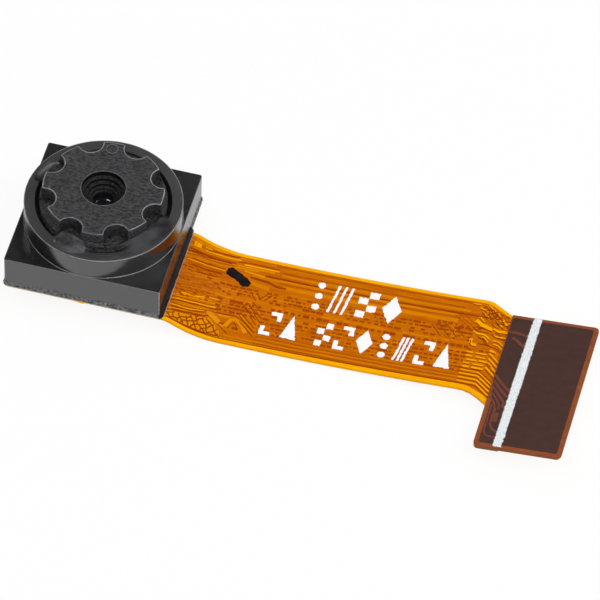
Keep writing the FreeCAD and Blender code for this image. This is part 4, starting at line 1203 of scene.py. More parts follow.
# Tracks seen through the film: width, then the points of each line
tracks = {
    "seed": 5,
    "darkLine": [
        (0.1, (8.2, 0.7), (18.35, 0.7)),
        (0.06, (18.35, 0.7), (20.2, 0.68)),
        (0.07, (5.15, 1.2), (5.5, 1.34), (6.0, 1.4), (6.7, 1.5)),
        (0.06, (6.7, 1.22), (7.4, 1.29), (8.8, 1.26)),
        (0.07, (4.25, 0.82), (4.9, 0.82), (5.5, 0.9), (6.4, 0.97)),
        (0.05, (4.4, 0.62), (5.1, 0.72), (5.6, 0.86)),
        (0.06, (4.6, 0.28), (5.4, 0.4), (6.2, 0.52)),
        (0.08, (4.6, -0.1), (5.2, 0.0), (6.1, 0.17)),
        (0.05, (4.5, -0.52), (5.1, -0.34), (5.9, -0.12)),
        (0.12, (7.5, 0.42), (8.5, 0.33), (8.9, 0.15), (9.4, 0.15)),
        (0.06, (4.2, -2.7), (5.0, -2.42), (5.7, -2.2), (6.5, -2.08)),
        (0.05, (4.2, -2.45), (5.0, -2.2), (5.7, -2.02), (6.5, -1.9)),
        (0.05, (4.3, -2.85), (5.2, -2.62), (6.1, -2.3), (7.2, -2.22)),
        (0.05, (4.3, -3.05), (5.2, -2.8), (6.0, -2.45)),
        (0.05, (4.2, -3.35), (5.2, -3.0), (6.0, -2.72)),
        (0.07, (4.3, -3.78), (7.0, -3.68)),
        (0.05, (6.7, -2.95), (7.3, -3.4)),
        (0.05, (7.25, -3.05), (7.38, -2.68), (7.52, -2.64), (7.75, -3.05)),
        (0.05, (6.45, -2.25), (7.4, -2.2), (8.0, -2.5), (8.6, -3.0)),
        (0.12, (6.75, -2.85), (7.0, -2.85)),
        (0.1, (6.4, -0.86), (6.52, -0.86)),
        (0.1, (7.14, -0.86), (7.26, -0.86)),
        (0.14, (7.45, -2.98), (7.75, -3.0)),
        (0.05, (4.1, -3.8), (8.0, -3.78), (19.2, -3.7)),
        (0.07, (19.2, 0.02), (20.0, -0.16)),
        (0.06, (19.1, -0.22), (19.9, -0.3)),
        (0.06, (20.0, -0.3), (20.3, -0.52), (20.8, -0.58)),
        (0.06, (19.4, -0.62), (19.75, -0.78), (19.85, -1.05), (20.5, -1.2), (20.75, -1.45)),
        (0.08, (19.5, -1.05), (20.1, -1.05)),
    ],
    "midLine": [
        (0.09, (9.0, 1.12), (18.4, 1.12)),
        (0.1, (8.6, 1.48), (18.8, 1.48)),
        (0.07, (9.0, 0.42), (18.3, 0.42)),
        (0.08, (8.7, -3.2), (19.0, -3.2)),
        (0.06, (8.7, -3.42), (19.0, -3.4)),
        (0.1, (8.7, -3.64), (19.0, -3.64)),
        (0.06, (8.7, -2.98), (19.0, -2.98)),
        (0.05, (17.0, -0.1), (17.9, -1.0)),
        (0.05, (17.2, -0.1), (18.1, -1.0)),
        (0.05, (18.2, 0.6), (19.0, 0.0)),
        (0.05, (18.4, 0.7), (19.2, 0.1)),
        (0.05, (18.0, 0.55), (18.8, -0.05)),
    ],
    "lightLine": [
        (0.22, (9.2, 0.18), (18.2, 0.18)),
        (0.14, (9.0, 0.56), (18.1, 0.56)),
        (0.14, (9.0, 0.93), (18.7, 0.93)),
        (0.07, (7.2, -3.56), (19.0, -3.54)),
        (0.05, (8.8, -3.3), (19.0, -3.3)),
        (0.08, (4.3, 1.55), (6.5, 1.56)),
        (0.05, (4.3, 0.7), (5.2, 0.78), (6.4, 1.08)),
        (0.06, (4.3, 0.45), (5.3, 0.62), (6.2, 0.72)),
        (0.2, (7.4, 0.12), (8.6, -0.1)),
        (0.12, (7.6, 0.62), (9.0, 0.52)),
    ],
    "yellowLine": [
        (0.26, (4.4, 1.2), (4.76, 1.2)),
        (0.05, (4.95, 1.3), (5.3, 1.32)),
        (0.06, (5.0, 1.1), (5.6, 1.22), (6.8, 1.35)),
        (0.08, (7.0, 1.13), (8.8, 1.15)),
        (0.05, (4.3, 0.1), (5.0, 0.25), (6.2, 0.42)),
        (0.06, (5.9, -1.53), (6.4, -1.47)),
        (0.06, (5.25, -1.78), (5.7, -1.62)),
        (0.06, (4.6, -2.0), (5.0, -1.86)),
        (0.08, (4.25, -2.6), (5.0, -2.32), (5.6, -2.12), (6.45, -1.97)),
        (0.06, (4.25, -3.2), (5.5, -2.78), (6.0, -2.65)),
        (0.05, (4.3, -2.95), (5.2, -2.7), (5.9, -2.4)),
        (0.06, (18.7, 1.45), (19.1, 1.45)),
        (0.09, (19.1, 1.25), (19.3, 1.2), (19.5, 1.05)),
        (0.07, (19.25, 1.02), (19.35, 0.92)),
        (0.09, (19.5, 1.48), (19.75, 1.28)),
        (0.07, (19.8, 1.28), (20.08, 0.95)),
        (0.09, (19.2, 0.68), (19.5, 0.4)),
        (0.06, (19.58, 0.8), (19.68, 0.7)),
        (0.07, (20.0, 0.68), (20.22, 0.35)),
        (0.16, (20.25, 0.65), (20.5, 0.65)),
        (0.18, (20.5, 0.42), (20.78, 0.5)),
        (0.22, (19.1, 0.42), (19.35, 0.2), (19.7, 0.08), (20.0, -0.06)),
        (0.16, (20.08, 0.06), (20.3, -0.08), (20.8, -0.08)),
        (0.1, (19.1, -0.28), (19.35, -0.42), (19.7, -0.42), (20.0, -0.66)),
        (0.08, (20.15, -0.38), (20.35, -0.46), (20.8, -0.44)),
        (0.09, (19.6, -0.6), (19.9, -0.78), (19.9, -0.98)),
        (0.14, (20.2, -1.35), (20.52, -1.48)),
        (0.16, (19.12, -0.78), (19.14, -1.14), (19.45, -1.16)),
        (0.12, (19.62, -0.56), (19.84, -0.7), (19.95, -0.9)),
        (0.08, (20.2, -0.72), (20.45, -0.72), (20.78, -0.98)),
        (0.08, (20.25, -0.92), (20.5, -0.98), (20.78, -1.24)),
        (0.1, (20.2, 0.4), (20.45, 0.25)),
        (0.08, (20.1, 0.55), (20.3, 0.3)),
        (0.08, (19.4, 0.85), (19.62, 0.62)),
        (0.08, (19.95, 1.1), (20.2, 0.88)),
        (0.09, (19.1, -1.65), (19.42, -1.66)), (0.08, (19.55, -1.66), (20.1, -1.66)),
        (0.1, (19.1, -1.88), (19.42, -1.9)), (0.08, (19.6, -1.9), (20.1, -1.92)),
        (0.1, (19.2, -2.14), (19.7, -2.14)), (0.1, (19.82, -2.12), (20.3, -2.16), (20.5, -2.32)),
        (0.08, (19.1, -2.36), (19.42, -2.38)), (0.08, (19.56, -2.38), (20.1, -2.38)),
        (0.11, (19.1, -2.6), (19.42, -2.6)), (0.11, (19.56, -2.6), (20.15, -2.62)),
    ],
    "opening": [
        (0.26, (6.02, -2.36), (6.5, -2.64), (6.98, -3.06)),
        (0.2, (7.08, -2.98), (7.28, -2.48), (7.56, -2.4), (7.9, -2.75), (8.18, -3.12)),
        (0.1, (6.6, -2.38), (7.2, -2.34)),
        (0.09, (6.7, 1.0), (8.6, 1.0)),
        (0.07, (6.6, 0.85), (7.8, 0.88)),
        (0.12, (7.1, 0.75), (8.2, 0.6)),
    ],
    "hazeLine": [
        # the broad strip along the holder's side is painted shade
        (0.3, (4.2, -3.6), (4.2, 1.5)),
        (0.16, (4.3, -0.72), (5.2, -0.55), (6.0, -0.4)),
        (0.16, (4.3, -1.0), (5.2, -0.85), (6.0, -0.7)),
        (0.16, (4.4, -1.35), (5.2, -1.15), (6.0, -1.0)),
        (0.12, (4.4, -1.7), (5.2, -1.45), (5.9, -1.25)),
        (0.12, (4.4, 0.55), (5.3, 0.72), (6.1, 0.83)),
    ],
    # guides of the dense lines that fan in from the holder, and how many lie between two of them
    "flow": [
        [(4.02, 1.5), (5.2, 1.52), (6.6, 1.56)],
        [(4.02, 0.92), (5.3, 1.1), (6.6, 1.3)],
        [(4.02, 0.3), (5.3, 0.62), (6.6, 0.85)],
        [(4.02, -0.4), (5.3, 0.02), (6.6, 0.3)],
        [(4.02, -1.25), (5.3, -0.75), (6.6, -0.45)],
        [(4.02, -2.15), (5.3, -1.6), (6.6, -1.4)],
        [(4.02, -2.8), (5.3, -2.3), (6.6, -2.05)],
        [(4.02, -3.4), (5.3, -2.95), (6.1, -2.68)],
    ],
    "flowLines": 5,
    "flowSteps": 8,
    "flowWidth": (0.035, 0.075),
    "flowWaver": 0.03,
    "flowFine": 2.0,
    "flowSeed": 7.0,
    "flowBegins": (0.0, 0.0, 0.15, 0.35),
    "flowEnds": (1.0, 1.0, 0.8, 0.6),
    "flowKinds": ["darkLine", "lightLine", "midLine", "lightLine", "midLine", "opening"],
    # between these guides the lines are dimmer
    "dimmerGuides": (3, 4),
    "dimmerKinds": ["midLine", "hazeLine", "midLine", "lightLine"],
    # a dark row lies on a softer and broader one
    "underlay": ("midLine", 2.1),
    # rows of dashes: finish, from, to, pitch, width, kept
    "rows": [
        ("darkLine", (5.6, -0.38), (19.0, -0.28), 0.34, 0.07, 0.72),
        ("darkLine", (6.0, -0.56), (19.0, -0.5), 0.3, 0.06, 0.62),
        ("darkLine", (6.2, -0.76), (19.0, -0.75), 0.26, 0.06, 0.6),
        ("darkLine", (6.4, -0.94), (19.0, -0.95), 0.36, 0.07, 0.62),
        ("darkLine", (6.4, -1.33), (19.0, -1.37), 0.34, 0.1, 0.68),
        ("darkLine", (6.4, -1.55), (9.0, -1.55), 0.3, 0.05, 0.6),
        ("darkLine", (6.4, -1.78), (19.0, -1.76), 0.32, 0.06, 0.7),
        ("darkLine", (6.5, -2.02), (19.0, -2.0), 0.34, 0.07, 0.76),
        ("darkLine", (8.8, -2.26), (19.0, -2.24), 0.26, 0.06, 0.7),
        ("darkLine", (8.8, -2.5), (19.0, -2.48), 0.3, 0.06, 0.66),
        ("darkLine", (8.8, -2.72), (19.0, -2.7), 0.22, 0.05, 0.7),
        ("darkLine", (8.8, -2.92), (19.0, -2.92), 0.36, 0.07, 0.8),
        ("darkLine", (17.3, -0.02), (19.4, -0.08), 0.28, 0.08, 0.9),
        ("darkLine", (17.35, -0.15), (19.2, -0.2), 0.33, 0.08, 0.85),
        ("darkLine", (4.3, -0.35), (5.6, -0.1), 0.3, 0.05, 0.6),
        ("darkLine", (4.4, -1.15), (5.8, -0.85), 0.28, 0.05, 0.5),
        ("darkLine", (4.3, -1.6), (5.8, -1.3), 0.3, 0.05, 0.6),
        ("darkLine", (4.3, -1.9), (5.8, -1.5), 0.28, 0.05, 0.7),
        ("darkLine", (4.3, -2.2), (5.8, -1.75), 0.28, 0.05, 0.7),
        ("lightLine", (6.3, -0.66), (18.9, -0.64), 0.34, 0.06, 0.5),
        ("lightLine", (6.3, -1.15), (18.9, -1.15), 0.5, 0.09, 0.5),
        ("lightLine", (6.3, -1.66), (18.9, -1.66), 0.36, 0.06, 0.5),
        ("lightLine", (8.8, -2.12), (18.9, -2.12), 0.36, 0.05, 0.5),
        ("lightLine", (8.8, -2.36), (18.9, -2.36), 0.36, 0.05, 0.5),
        ("lightLine", (8.8, -2.82), (18.9, -2.82), 0.36, 0.05, 0.5),
        ("lightLine", (4.6, -0.5), (6.4, -0.25), 0.3, 0.05, 0.6),
        ("lightLine", (4.9, -0.95), (6.4, -0.75), 0.3, 0.05, 0.6),
        ("lightLine", (5.2, -1.2), (6.6, -1.0), 0.3, 0.05, 0.6),
        ("darkLine", (19.3, 1.3), (20.6, 0.9), 0.3, 0.06, 0.8),
        ("darkLine", (19.2, 0.85), (20.7, 0.3), 0.3, 0.06, 0.8),
        ("darkLine", (19.4, 1.1), (20.7, 0.6), 0.3, 0.06, 0.7),
        ("darkLine", (19.2, -1.48), (20.4, -1.5), 0.3, 0.06, 0.8),
    ],
    # nested lines that run level and turn down toward the tongue: level, finish, width
    "turning": [
        (-3.05, "yellowLine", 0.08), (-3.3, "yellowLine", 0.08), (-3.55, "yellowLine", 0.09),
        (-2.94, "darkLine", 0.06), (-3.18, "darkLine", 0.06), (-3.42, "darkLine", 0.06),
        (-3.68, "darkLine", 0.07), (-2.72, "darkLine", 0.05), (-2.82, "yellowLine", 0.06),
    ],
    "turnStart": 19.05,
    "turnFrom": 20.0,
    "turnSag": 0.03,
    "turnDrop": 0.8,
    # bare gaps past this place have a dark line of this width along their lower side, a painted shadow
    "shadedFrom": 18.6,
    "shadeWidth": 0.05,
    # lines that only exist in the last stretch, falling toward the tongue, in turn these two
    "fallingKinds": [("yellowLine", 0.07), ("darkLine", 0.05)],
    "fallingLines": 8,
    "fallingStart": 20.25,
    "fallingFrom": -1.55,
    "fallingStep": 0.15,
    "fallingDrop": 0.5,
    # the lines stop this far before the tongue
    "endGap": 0.01,
    # bundles of short slanting lines: from, to, step across, count
    "bundles": [
        ((7.85, -0.6), (8.15, -0.98), (0.12, 0.05), 3),
        ((8.3, -0.85), (8.62, -0.42), (0.12, -0.02), 4),
        ((7.7, -1.55), (8.5, -2.2), (0.12, 0.08), 4),
        ((7.6, -1.9), (8.5, -2.7), (0.02, -0.14), 5),
        ((7.5, -1.3), (8.0, -1.75), (0.13, 0.05), 5),
        ((8.1, -2.0), (8.55, -2.5), (0.1, 0.08), 3),
        ((20.2, -0.2), (20.5, -0.34), (0.1, -0.14), 4),
        ((19.3, 1.42), (19.62, 1.12), (0.13, -0.08), 8),
        ((19.25, 1.0), (19.6, 0.62), (0.15, -0.03), 9),
        ((19.9, 0.3), (20.25, 0.05), (0.15, 0.02), 5),
        ((17.0, -0.3), (17.6, -0.95), (0.2, 0.02), 7),
    ],
    "bundleWidth": 0.05,
    # height of each kind above the film, and the rows of dashes a little higher
    "lifts": {"hazeLine": 0.023, "lightLine": 0.024, "midLine": 0.025, "opening": 0.026,
              "yellowLine": 0.027, "darkLine": 0.028},
    "rowLift": 0.001,
}


def drawFlow(sizes, drawn):
    # Uneven strokes between each two guides
    chance = random.Random(sizes["seed"])
    for k, (high, low) in enumerate(zip(sizes["flow"], sizes["flow"][1:])):
        kinds = sizes["dimmerKinds"] if k in sizes["dimmerGuides"] else sizes["flowKinds"]
        for j in range(sizes["flowLines"]):
            share = (j + 0.5) / sizes["flowLines"]
            begin = chance.choice(sizes["flowBegins"])
            end = chance.choice(sizes["flowEnds"])
            points = []
            for step in range(sizes["flowSteps"] + 1):
                place = (begin + (end - begin) * step / sizes["flowSteps"]) * (len(high) - 1)
                piece = min(int(place), len(high) - 2)
                part = place - piece
                ends = [Vector(g[piece]).lerp(Vector(g[piece + 1]), part) for g in (high, low)]
                spot = ends[0].lerp(ends[1], share)
                waver = wobble(spot.x, spot.y, sizes["flowFine"], sizes["flowSeed"])
                spot.y += sizes["flowWaver"] * waver
                points.append(tuple(spot))
            drawn[chance.choice(kinds)].append((chance.uniform(*sizes["flowWidth"]), *points))


def drawFlare(sizes, drawn):
    # Where the neck widens into the tongue: shaded gaps, then the lines that turn and fall
    for width, *points in sizes["yellowLine"]:
        if points[0][0] > sizes["shadedFrom"]:
            drop = (width + sizes["shadeWidth"]) / 2
            drawn["darkLine"].append((sizes["shadeWidth"], *[(x, y - drop) for x, y in points]))
    end = tongueStart - sizes["endGap"]
    for height, finish, width in sizes["turning"]:
        turn = height - sizes["turnSag"]
        drawn[finish].append((
            width, (sizes["turnStart"], height), (sizes["turnFrom"], turn),
            (end, turn - sizes["turnDrop"] * (end - sizes["turnFrom"]))))
    for k in range(sizes["fallingLines"]):
        finish, width = sizes["fallingKinds"][k % 2]
        height = sizes["fallingFrom"] - sizes["fallingStep"] * k
        drawn[finish].append((
            width, (sizes["fallingStart"], height), (end, height - sizes["fallingDrop"])))


def drawBundles(sizes, drawn):
    for begin, finish, step, count in sizes["bundles"]:
        for k in range(count):
            dx, dy = step[0] * k, step[1] * k
            kind = "darkLine" if k % 2 == 0 else "lightLine"
            drawn[kind].append((
                sizes["bundleWidth"], (begin[0] + dx, begin[1] + dy), (finish[0] + dx, finish[1] + dy)))


def layRows(sizes):
    for k, (finish, begin, end, pitch, width, kept) in enumerate(sizes["rows"]):
        layers = [(finish, width)]
        if finish == "darkLine":
            soft, broader = sizes["underlay"]
            layers.append((soft, width * broader))
        for tone, broad in layers:
            growOnFilm(
                "dash_row_%02d_%s" % (k, tone), [(broad, begin, end)], dashTree, tone,
                sizes["lifts"][tone] + sizes["rowLift"], Pitch=pitch * mm, Width=broad * mm, Kept=kept,
                Seed=sizes["seed"] + k)


def makeTracks(sizes):
    drawn = {finish: list(sizes[finish]) for finish in (
        "darkLine", "midLine", "lightLine", "yellowLine", "opening", "hazeLine")}
    drawFlow(sizes, drawn)
    drawFlare(sizes, drawn)
    drawBundles(sizes, drawn)
    for finish, lines in drawn.items():
        growOnFilm("tracks_" + finish, lines, ribbonTree, finish, sizes["lifts"][finish])
    layRows(sizes)


makeTracks(tracks)
print("tracks laid")


# Crossed mesh of copper by the holder, with bare film showing in its openings
crossedMesh = {
    "area": [(4.2, -3.76), (7.0, -3.7), (6.85, -3.3), (6.2, -2.75), (5.4, -3.0), (4.2, -3.42)],
    "low": filmTop - 0.01,
    "high": filmTop + 0.0135,
    "middle": (5.5, -3.3),
    "pitch": 0.27,
    "lines": 40,
    "step": 0.08,
    "steps": 60,
    "width": 0.075,
    "slants": (38.0, -52.0),
    "waver": 0.16,
    "fine": 3.0,
    "fewestPoints": 3,
    "lift": 0.027,
}


def inside(area, x, y):
    odd = False
    for (x0, y0), (x1, y1) in zip(area, area[1:] + area[:1]):
        if (y0 > y) != (y1 > y) and x < (x1 - x0) * (y - y0) / (y1 - y0) + x0:
            odd = not odd
    return odd


def makeCrossedMesh(sizes):
    area = sizes["area"]
    middle = Vector(sizes["middle"])
    finishPiece(laidPiece("mesh_openings", [area], sizes["low"], sizes["high"]), "opening", "amber_film")
    lines = []
    for slant in sizes["slants"]:
        along = Vector((math.cos(math.radians(slant)), math.sin(math.radians(slant))))
        across = Vector((-along.y, along.x))
        for k in range(-sizes["lines"], sizes["lines"] + 1):
            run = []
            for step in range(-sizes["steps"], sizes["steps"] + 1):
                spot = middle + across * (k * sizes["pitch"]) + along * (step * sizes["step"])
                spot += across * sizes["waver"] * wobble(spot.x, spot.y, sizes["fine"], slant)
                if inside(area, spot.x, spot.y):
                    run.append((spot.x, spot.y))
                elif run:
                    if len(run) >= sizes["fewestPoints"]:
                        lines.append((sizes["width"], *run))
                    run = []
    growOnFilm("crossed_mesh", lines, ribbonTree, "darkLine", sizes["lift"])


makeCrossedMesh(crossedMesh)


# Ragged outlines, for print, ink and a burr
def raggedOutline(points, sizes):
    drawn = []
    for (x0, y0), (x1, y1) in zip(points, points[1:] + points[:1]):
        length = math.hypot(x1 - x0, y1 - y0)
        count = max(1, round(length / sizes["step"]))
        for k in range(count):
            x = x0 + (x1 - x0) * k / count
            y = y0 + (y1 - y0) * k / count
            # only in and out of the edge, so that the outline never crosses itself
            shift = wobble(x, y, sizes["fine"], sizes["seed"]) * sizes["rough"]
            drawn.append((x + (y1 - y0) / length * shift, y - (x1 - x0) / length * shift))
    return drawn


def makeRaggedPiece(name, finish, slot, sizes):
    outline = raggedOutline(sizes["outline"], sizes)
    finishPiece(laidPiece(name, [outline], sizes["low"], sizes["high"]), finish, slot)


inkDab = {
    "outline": [(6.25, 0.35), (6.3, 0.6), (6.5, 0.75), (6.8, 0.62), (7.3, 0.35), (7.65, 0.05),
                (7.55, -0.2), (7.3, -0.28), (7.15, -0.2), (7.0, -0.02), (6.6, 0.15), (6.3, 0.25)],
    "rough": 0.05,
    "fine": 9.0,
    "step": 0.06,
    "seed": 3.0,
    "low": filmTop - 0.01,
    "high": filmTop + 0.03,
}
makeRaggedPiece("ink_dab", "ink", "amber_film", inkDab)


# White print: plain register marks in two rows
whitePrint = {
    "stroke": 0.23,
    "stripeShare": 0.55,
    "dotShare": 0.85,
    "armShare": 0.36,
    "cellGap": 0.03,
    "rough": 0.045,
    "fine": 9.0,
    "step": 0.06,
    "seed": 10.0,
    "low": filmTop - 0.01,
    "high": filmTop + 0.034,
    # mark, low corner, high corner
    "marks": [
        ("dots", (10.85, -0.78), (11.35, 1.02)),
        ("stripes", (11.7, -0.78), (12.75, 1.02)),
        ("checker", (13.1, -0.7), (14.1, 1.02)),
        ("diamond", (14.35, -0.78), (15.35, 1.02)),
        ("brackets", (8.78, -3.0), (9.7, -1.45)),
        ("triangle", (9.85, -2.95), (10.68, -1.45)),
        ("checker", (11.6, -3.0), (12.35, -1.45)),
        ("brackets", (12.55, -3.0), (13.4, -1.45)),
        ("diamond", (13.6, -3.0), (14.45, -1.45)),
        ("dots", (14.8, -3.0), (15.25, -1.45)),
        ("stripes", (15.6, -3.0), (16.4, -1.45)),
        ("brackets", (16.65, -3.0), (17.5, -1.45)),
        ("triangle", (17.68, -2.95), (18.5, -1.45)),
    ],
}


def markOutlines(kind, low, high, sizes):
    x0, y0 = low
    x1, y1 = high
    midX, midY = (x0 + x1) / 2, (y0 + y1) / 2
    stroke = sizes["stroke"]
    if kind == "dots":
        half = stroke * sizes["dotShare"]
        return [circle(half, 12, (midX, y)) for y in (y0 + half, midY, y1 - half)]
    if kind == "stripes":
        wide = stroke * sizes["stripeShare"]
        starts = [x0 + (x1 - x0 - wide - stroke) / 2 * k for k in range(3)]
        return [[(x, y0), (x + wide, y0), (x + wide + stroke, y1), (x + stroke, y1)] for x in starts]
    if kind == "checker":
        cellX, cellY = (x1 - x0) / 2, (y1 - y0) / 4
        cells = [(x0 + cellX * (k % 2), y0 + cellY * k) for k in range(4)]
        right, up = cellX - sizes["cellGap"], cellY - sizes["cellGap"]
        return [[(x, y), (x + right, y), (x + right, y + up), (x, y + up)] for x, y in cells]
    if kind == "diamond":
        return [[(midX, y0), (x1, midY), (midX, y1), (x0, midY)]]
    if kind == "triangle":
        return [[(x0, y0), (x1, y0), (midX, y1)]]
    # brackets: an angle in the low corner, and the same one turned round in the high corner
    arm = (y1 - y0) * sizes["armShare"]
    angle = [(0, 0), (arm, 0), (arm, stroke), (stroke, stroke), (stroke, arm), (0, arm)]
    return [[(x0 + x, y0 + y) for x, y in angle], [(x1 - x, y1 - y) for x, y in angle]]


def makeWhitePrint(sizes):
    outlines = []
    for k, (kind, low, high) in enumerate(sizes["marks"]):
        for outline in markOutlines(kind, low, high, sizes):
            outlines.append(raggedOutline(outline, {**sizes, "seed": sizes["seed"] + k}))
    finishPiece(laidPiece("white_print", outlines, sizes["low"], sizes["high"]), "print", "amber_film")


makeWhitePrint(whitePrint)


# White stripe across the tongue
whiteStripe = {
    "outline": [(21.78, -7.36), (22.2, -7.36), (22.28, -2.0), (22.3, 1.03), (21.88, 1.03),
                (21.82, -2.0)],
    "rough": 0.08,
    "fine": 22.0,
    "step": 0.03,
    "seed": 30.0,
    "low": 0.24,
    "high": 0.266,
}
makeRaggedPiece("white_stripe", "stripe", "brown_film", whiteStripe)


# Tracks that show faintly through the tongue
tongueTracks = {
    "lift": 0.02,
    # width, then the points of each line
    "lines": [
        (0.14, (20.86, -0.06), (21.3, -0.07), (21.86, -0.2)),
        (0.16, (21.1, -0.4), (21.35, -0.52), (21.8, -0.88)),
        (0.14, (20.86, -2.9), (21.2, -3.3), (21.8, -3.86)),
        (0.13, (20.86, -3.25), (21.3, -3.78), (21.76, -4.2)),
        (0.13, (20.86, -3.6), (21.3, -4.12), (21.66, -4.55), (21.68, -4.9)),
        (0.1, (20.86, -3.95), (21.25, -4.38), (21.48, -4.75), (21.5, -5.05)),
        (0.1, (20.9, -4.3), (21.2, -4.65), (21.3, -5.0)),
        (0.2, (21.52, -5.25), (21.5, -5.85)),
        (0.09, (21.12, -4.75), (21.12, -6.5), (21.28, -6.78), (21.8, -6.8)),
        (0.12, (21.34, -5.0), (21.32, -6.0), (21.5, -6.32), (21.8, -6.48)),
    ],
}
growLines(
    lineObject("tongue_tracks", tongueTracks["lines"]), ribbonTree, "tongueLine", "brown_film",
    Surface=tonguePlate, Lift=tongueTracks["lift"] * mm)
print("print and marks made")


# Bright edges of the mouldings as fine beads along them, with a light colour that is a painted highlight
def makeBeadTree():
    tree, given, result = newTree("edge_beads", [("Spacing", "Float", 0.05 * mm)])
    curve = addNode(tree, "GeometryNodeMeshToCurve")
    spaced = addNode(tree, "GeometryNodeResampleCurve", mode="LENGTH")
    section = addNode(tree, "GeometryNodeCurvePrimitiveCircle", {"Resolution": 6, "Radius": 0.5})
    connect(
        tree,
        (given, "Lines", curve, "Mesh"),
        (curve, 0, spaced, "Curve"),
        (given, "Spacing", spaced, "Length"))
    return endTree(tree, given, result, sweepLines(tree, spaced, section))


def headOutline(radius, sizes, flare):
    # The head's top edge: arcs of the head between the scallops of the notches
    centre = sizes["headRadius"]
    notch = sizes["notchRadius"] + flare
    apart = math.acos((radius ** 2 + centre ** 2 - notch ** 2) / (2 * radius * centre))
    opening = math.acos((centre - radius * math.cos(apart)) / notch)
    points = []
    step = 2 * math.pi / sizes["notches"]
    arcPoints = 7
    notchPoints = 15
    for k in range(sizes["notches"]):
        middle = math.radians(sizes["notchAngle"]) + step * k
        for j in range(arcPoints):
            angle = middle - step + apart + (step - 2 * apart) * j / arcPoints
            points.append((radius * math.cos(angle), radius * math.sin(angle)))
        for j in range(notchPoints):
            angle = middle + math.pi + opening - 2 * opening * j / notchPoints
            points.append((
                centre * math.cos(middle) + notch * math.cos(angle),
                centre * math.sin(middle) + notch * math.sin(angle)))
    return points


def arc(radius, begin, end, steps=40):
    angles = [math.radians(begin + (end - begin) * k / steps) for k in range(steps + 1)]
    return [(radius * math.cos(a), radius * math.sin(a)) for a in angles]


markTurn = math.radians(barrel["markAngle"])
markCentre = (barrel["markReach"] * math.cos(markTurn), barrel["markReach"] * math.sin(markTurn))
neckGlueX = 4.19
# name: finish, slot, bead thickness, height, closed, outline
edgeBeads = {
    # the lips carry a light colour as a painted highlight along the edges
    "head_lip": ("lip", "barrel_black", 0.06, barrelTop - 0.027, True,
                 headOutline(barrel["headRadius"] - 0.05, barrel, barrel["notchFlare"] - 0.02)),
    "rim_lip": ("lip", "holder_black", 0.045, rimTop - 0.021, True,
                circle(holder["collarRadius"] - 0.027)),
    "foot_lip": ("lip", "holder_black", 0.04, holder["baseTop"] + 0.012, False,
                 arc(holder["collarRadius"] + 0.01, 288, 608, 160)),
    "hood_lip": ("lip", "barrel_black", 0.02, barrelTop - 0.014, True, circle(1.125)),
    "mark_lip": ("lip", "barrel_black", 0.02, barrelTop - 0.009, True,
                 circle(barrel["markRadius"], 40, markCentre)),
    "rim_streak_outer": ("glue", "glue_black", 0.05, rimTop - 0.005, False, arc(3.66, 262, 312)),
    "rim_streak_inner": ("glue", "glue_black", 0.05, rimTop - 0.005, False, arc(3.5, 270, 304)),
    # a painted highlight along the edge of the glue by the neck
    "neck_glue_edge": (
        "glueHighlight", "glue_black", 0.03, filmHeight(neckGlueX, filmTop) + 0.025, False,
        [(neckGlueX, -3.9), (4.2, -2.0), (neckGlueX, 0.0), (4.18, 1.7)]),
}
# the upright edge of the holder that faces the neck, with a bead of painted highlight
cornerBead = {"inset": 0.03, "thickness": 0.05, "from": 1.3, "to": 2.85}


def makeEdgeBeads(beads, corner):
    tree = makeBeadTree()
    place = baseHalf - corner["inset"]
    ends = [(place, -place, z) for z in (corner["from"], corner["to"])]
    growLines(
        drawnObject("corner_lip", ends, [(0, 1)], [corner["thickness"]] * 2), tree, "lip",
        "holder_black")
    for name, (finish, slot, thickness, height, closed, outline) in beads.items():
        count = len(outline)
        edges = [(k, (k + 1) % count) for k in range(count if closed else count - 1)]
        line = drawnObject(name, [(x, y, height) for x, y in outline], edges, [thickness] * count)
        growLines(line, tree, finish, slot).data.shade_smooth()


makeEdgeBeads(edgeBeads, cornerBead)
print("edges beaded")


# Glue that locks the barrel: two drapes over the collar and a third that fills one notch
threadGlue = {
    "thread_glue_left": {
        "finish": "glue",
        "middle": 162.6,
        "half": 12.2,
        "under": [(2.5, 4.24), (3.05, 4.2), (3.2, 3.98), (3.42, 4.06), (3.8, 4.1)],
        "over": [(2.5, 4.96), (2.8, 4.94), (3.05, 4.86), (3.25, 4.68), (3.45, 4.44), (3.6, 4.27),
                 (3.72, 4.18), (3.8, 4.13)],
        "lumps": 0.03,
        "swell": 0.4,
    },
    "thread_glue_front": {
        # lighter glue: a painted sheen
        "finish": "sheenGlue",
        "middle": 255.5,
        "half": 18.0,
        "under": [(2.9, 4.2), (3.05, 4.2), (3.2, 3.98), (3.42, 4.06), (3.88, 4.1)],
        "over": [(2.9, 4.4), (3.0, 4.62), (3.1, 4.7), (3.2, 4.62), (3.35, 4.42), (3.5, 4.25),
                 (3.7, 4.15), (3.88, 4.11)],
        "lumps": 0.02,
        "swell": 1.1,
    },
    "thread_glue_right": {
        "finish": "glue",
        "middle": 329.0,
        "half": 31.0,
        "under": [(2.95, 4.2), (3.05, 4.2), (3.2, 3.98), (3.42, 4.06), (3.94, 4.06)],
        "over": [(2.95, 4.4), (3.05, 4.58), (3.2, 4.54), (3.4, 4.4), (3.6, 4.27), (3.8, 4.19),
                 (3.9, 4.14), (3.94, 4.07)],
        "lumps": 0.03,
        "swell": 1.1,
    },
}


# What all the drapes share
drape = {
    "outSteps": 24,
    "roundSteps": 72,
    "thinnest": 0.004,
    # how fine the lumps are outward and around, and which ones
    "lumpScale": (2.5, 7.0),
    "lumpSeed": 4.0,
}


def heightAt(points, r):
    for (r0, z0), (r1, z1) in zip(points, points[1:]):
        if r <= r1:
            share = max(0.0, (r - r0) / (r1 - r0))
            return z0 + (z1 - z0) * share
    return points[-1][1]


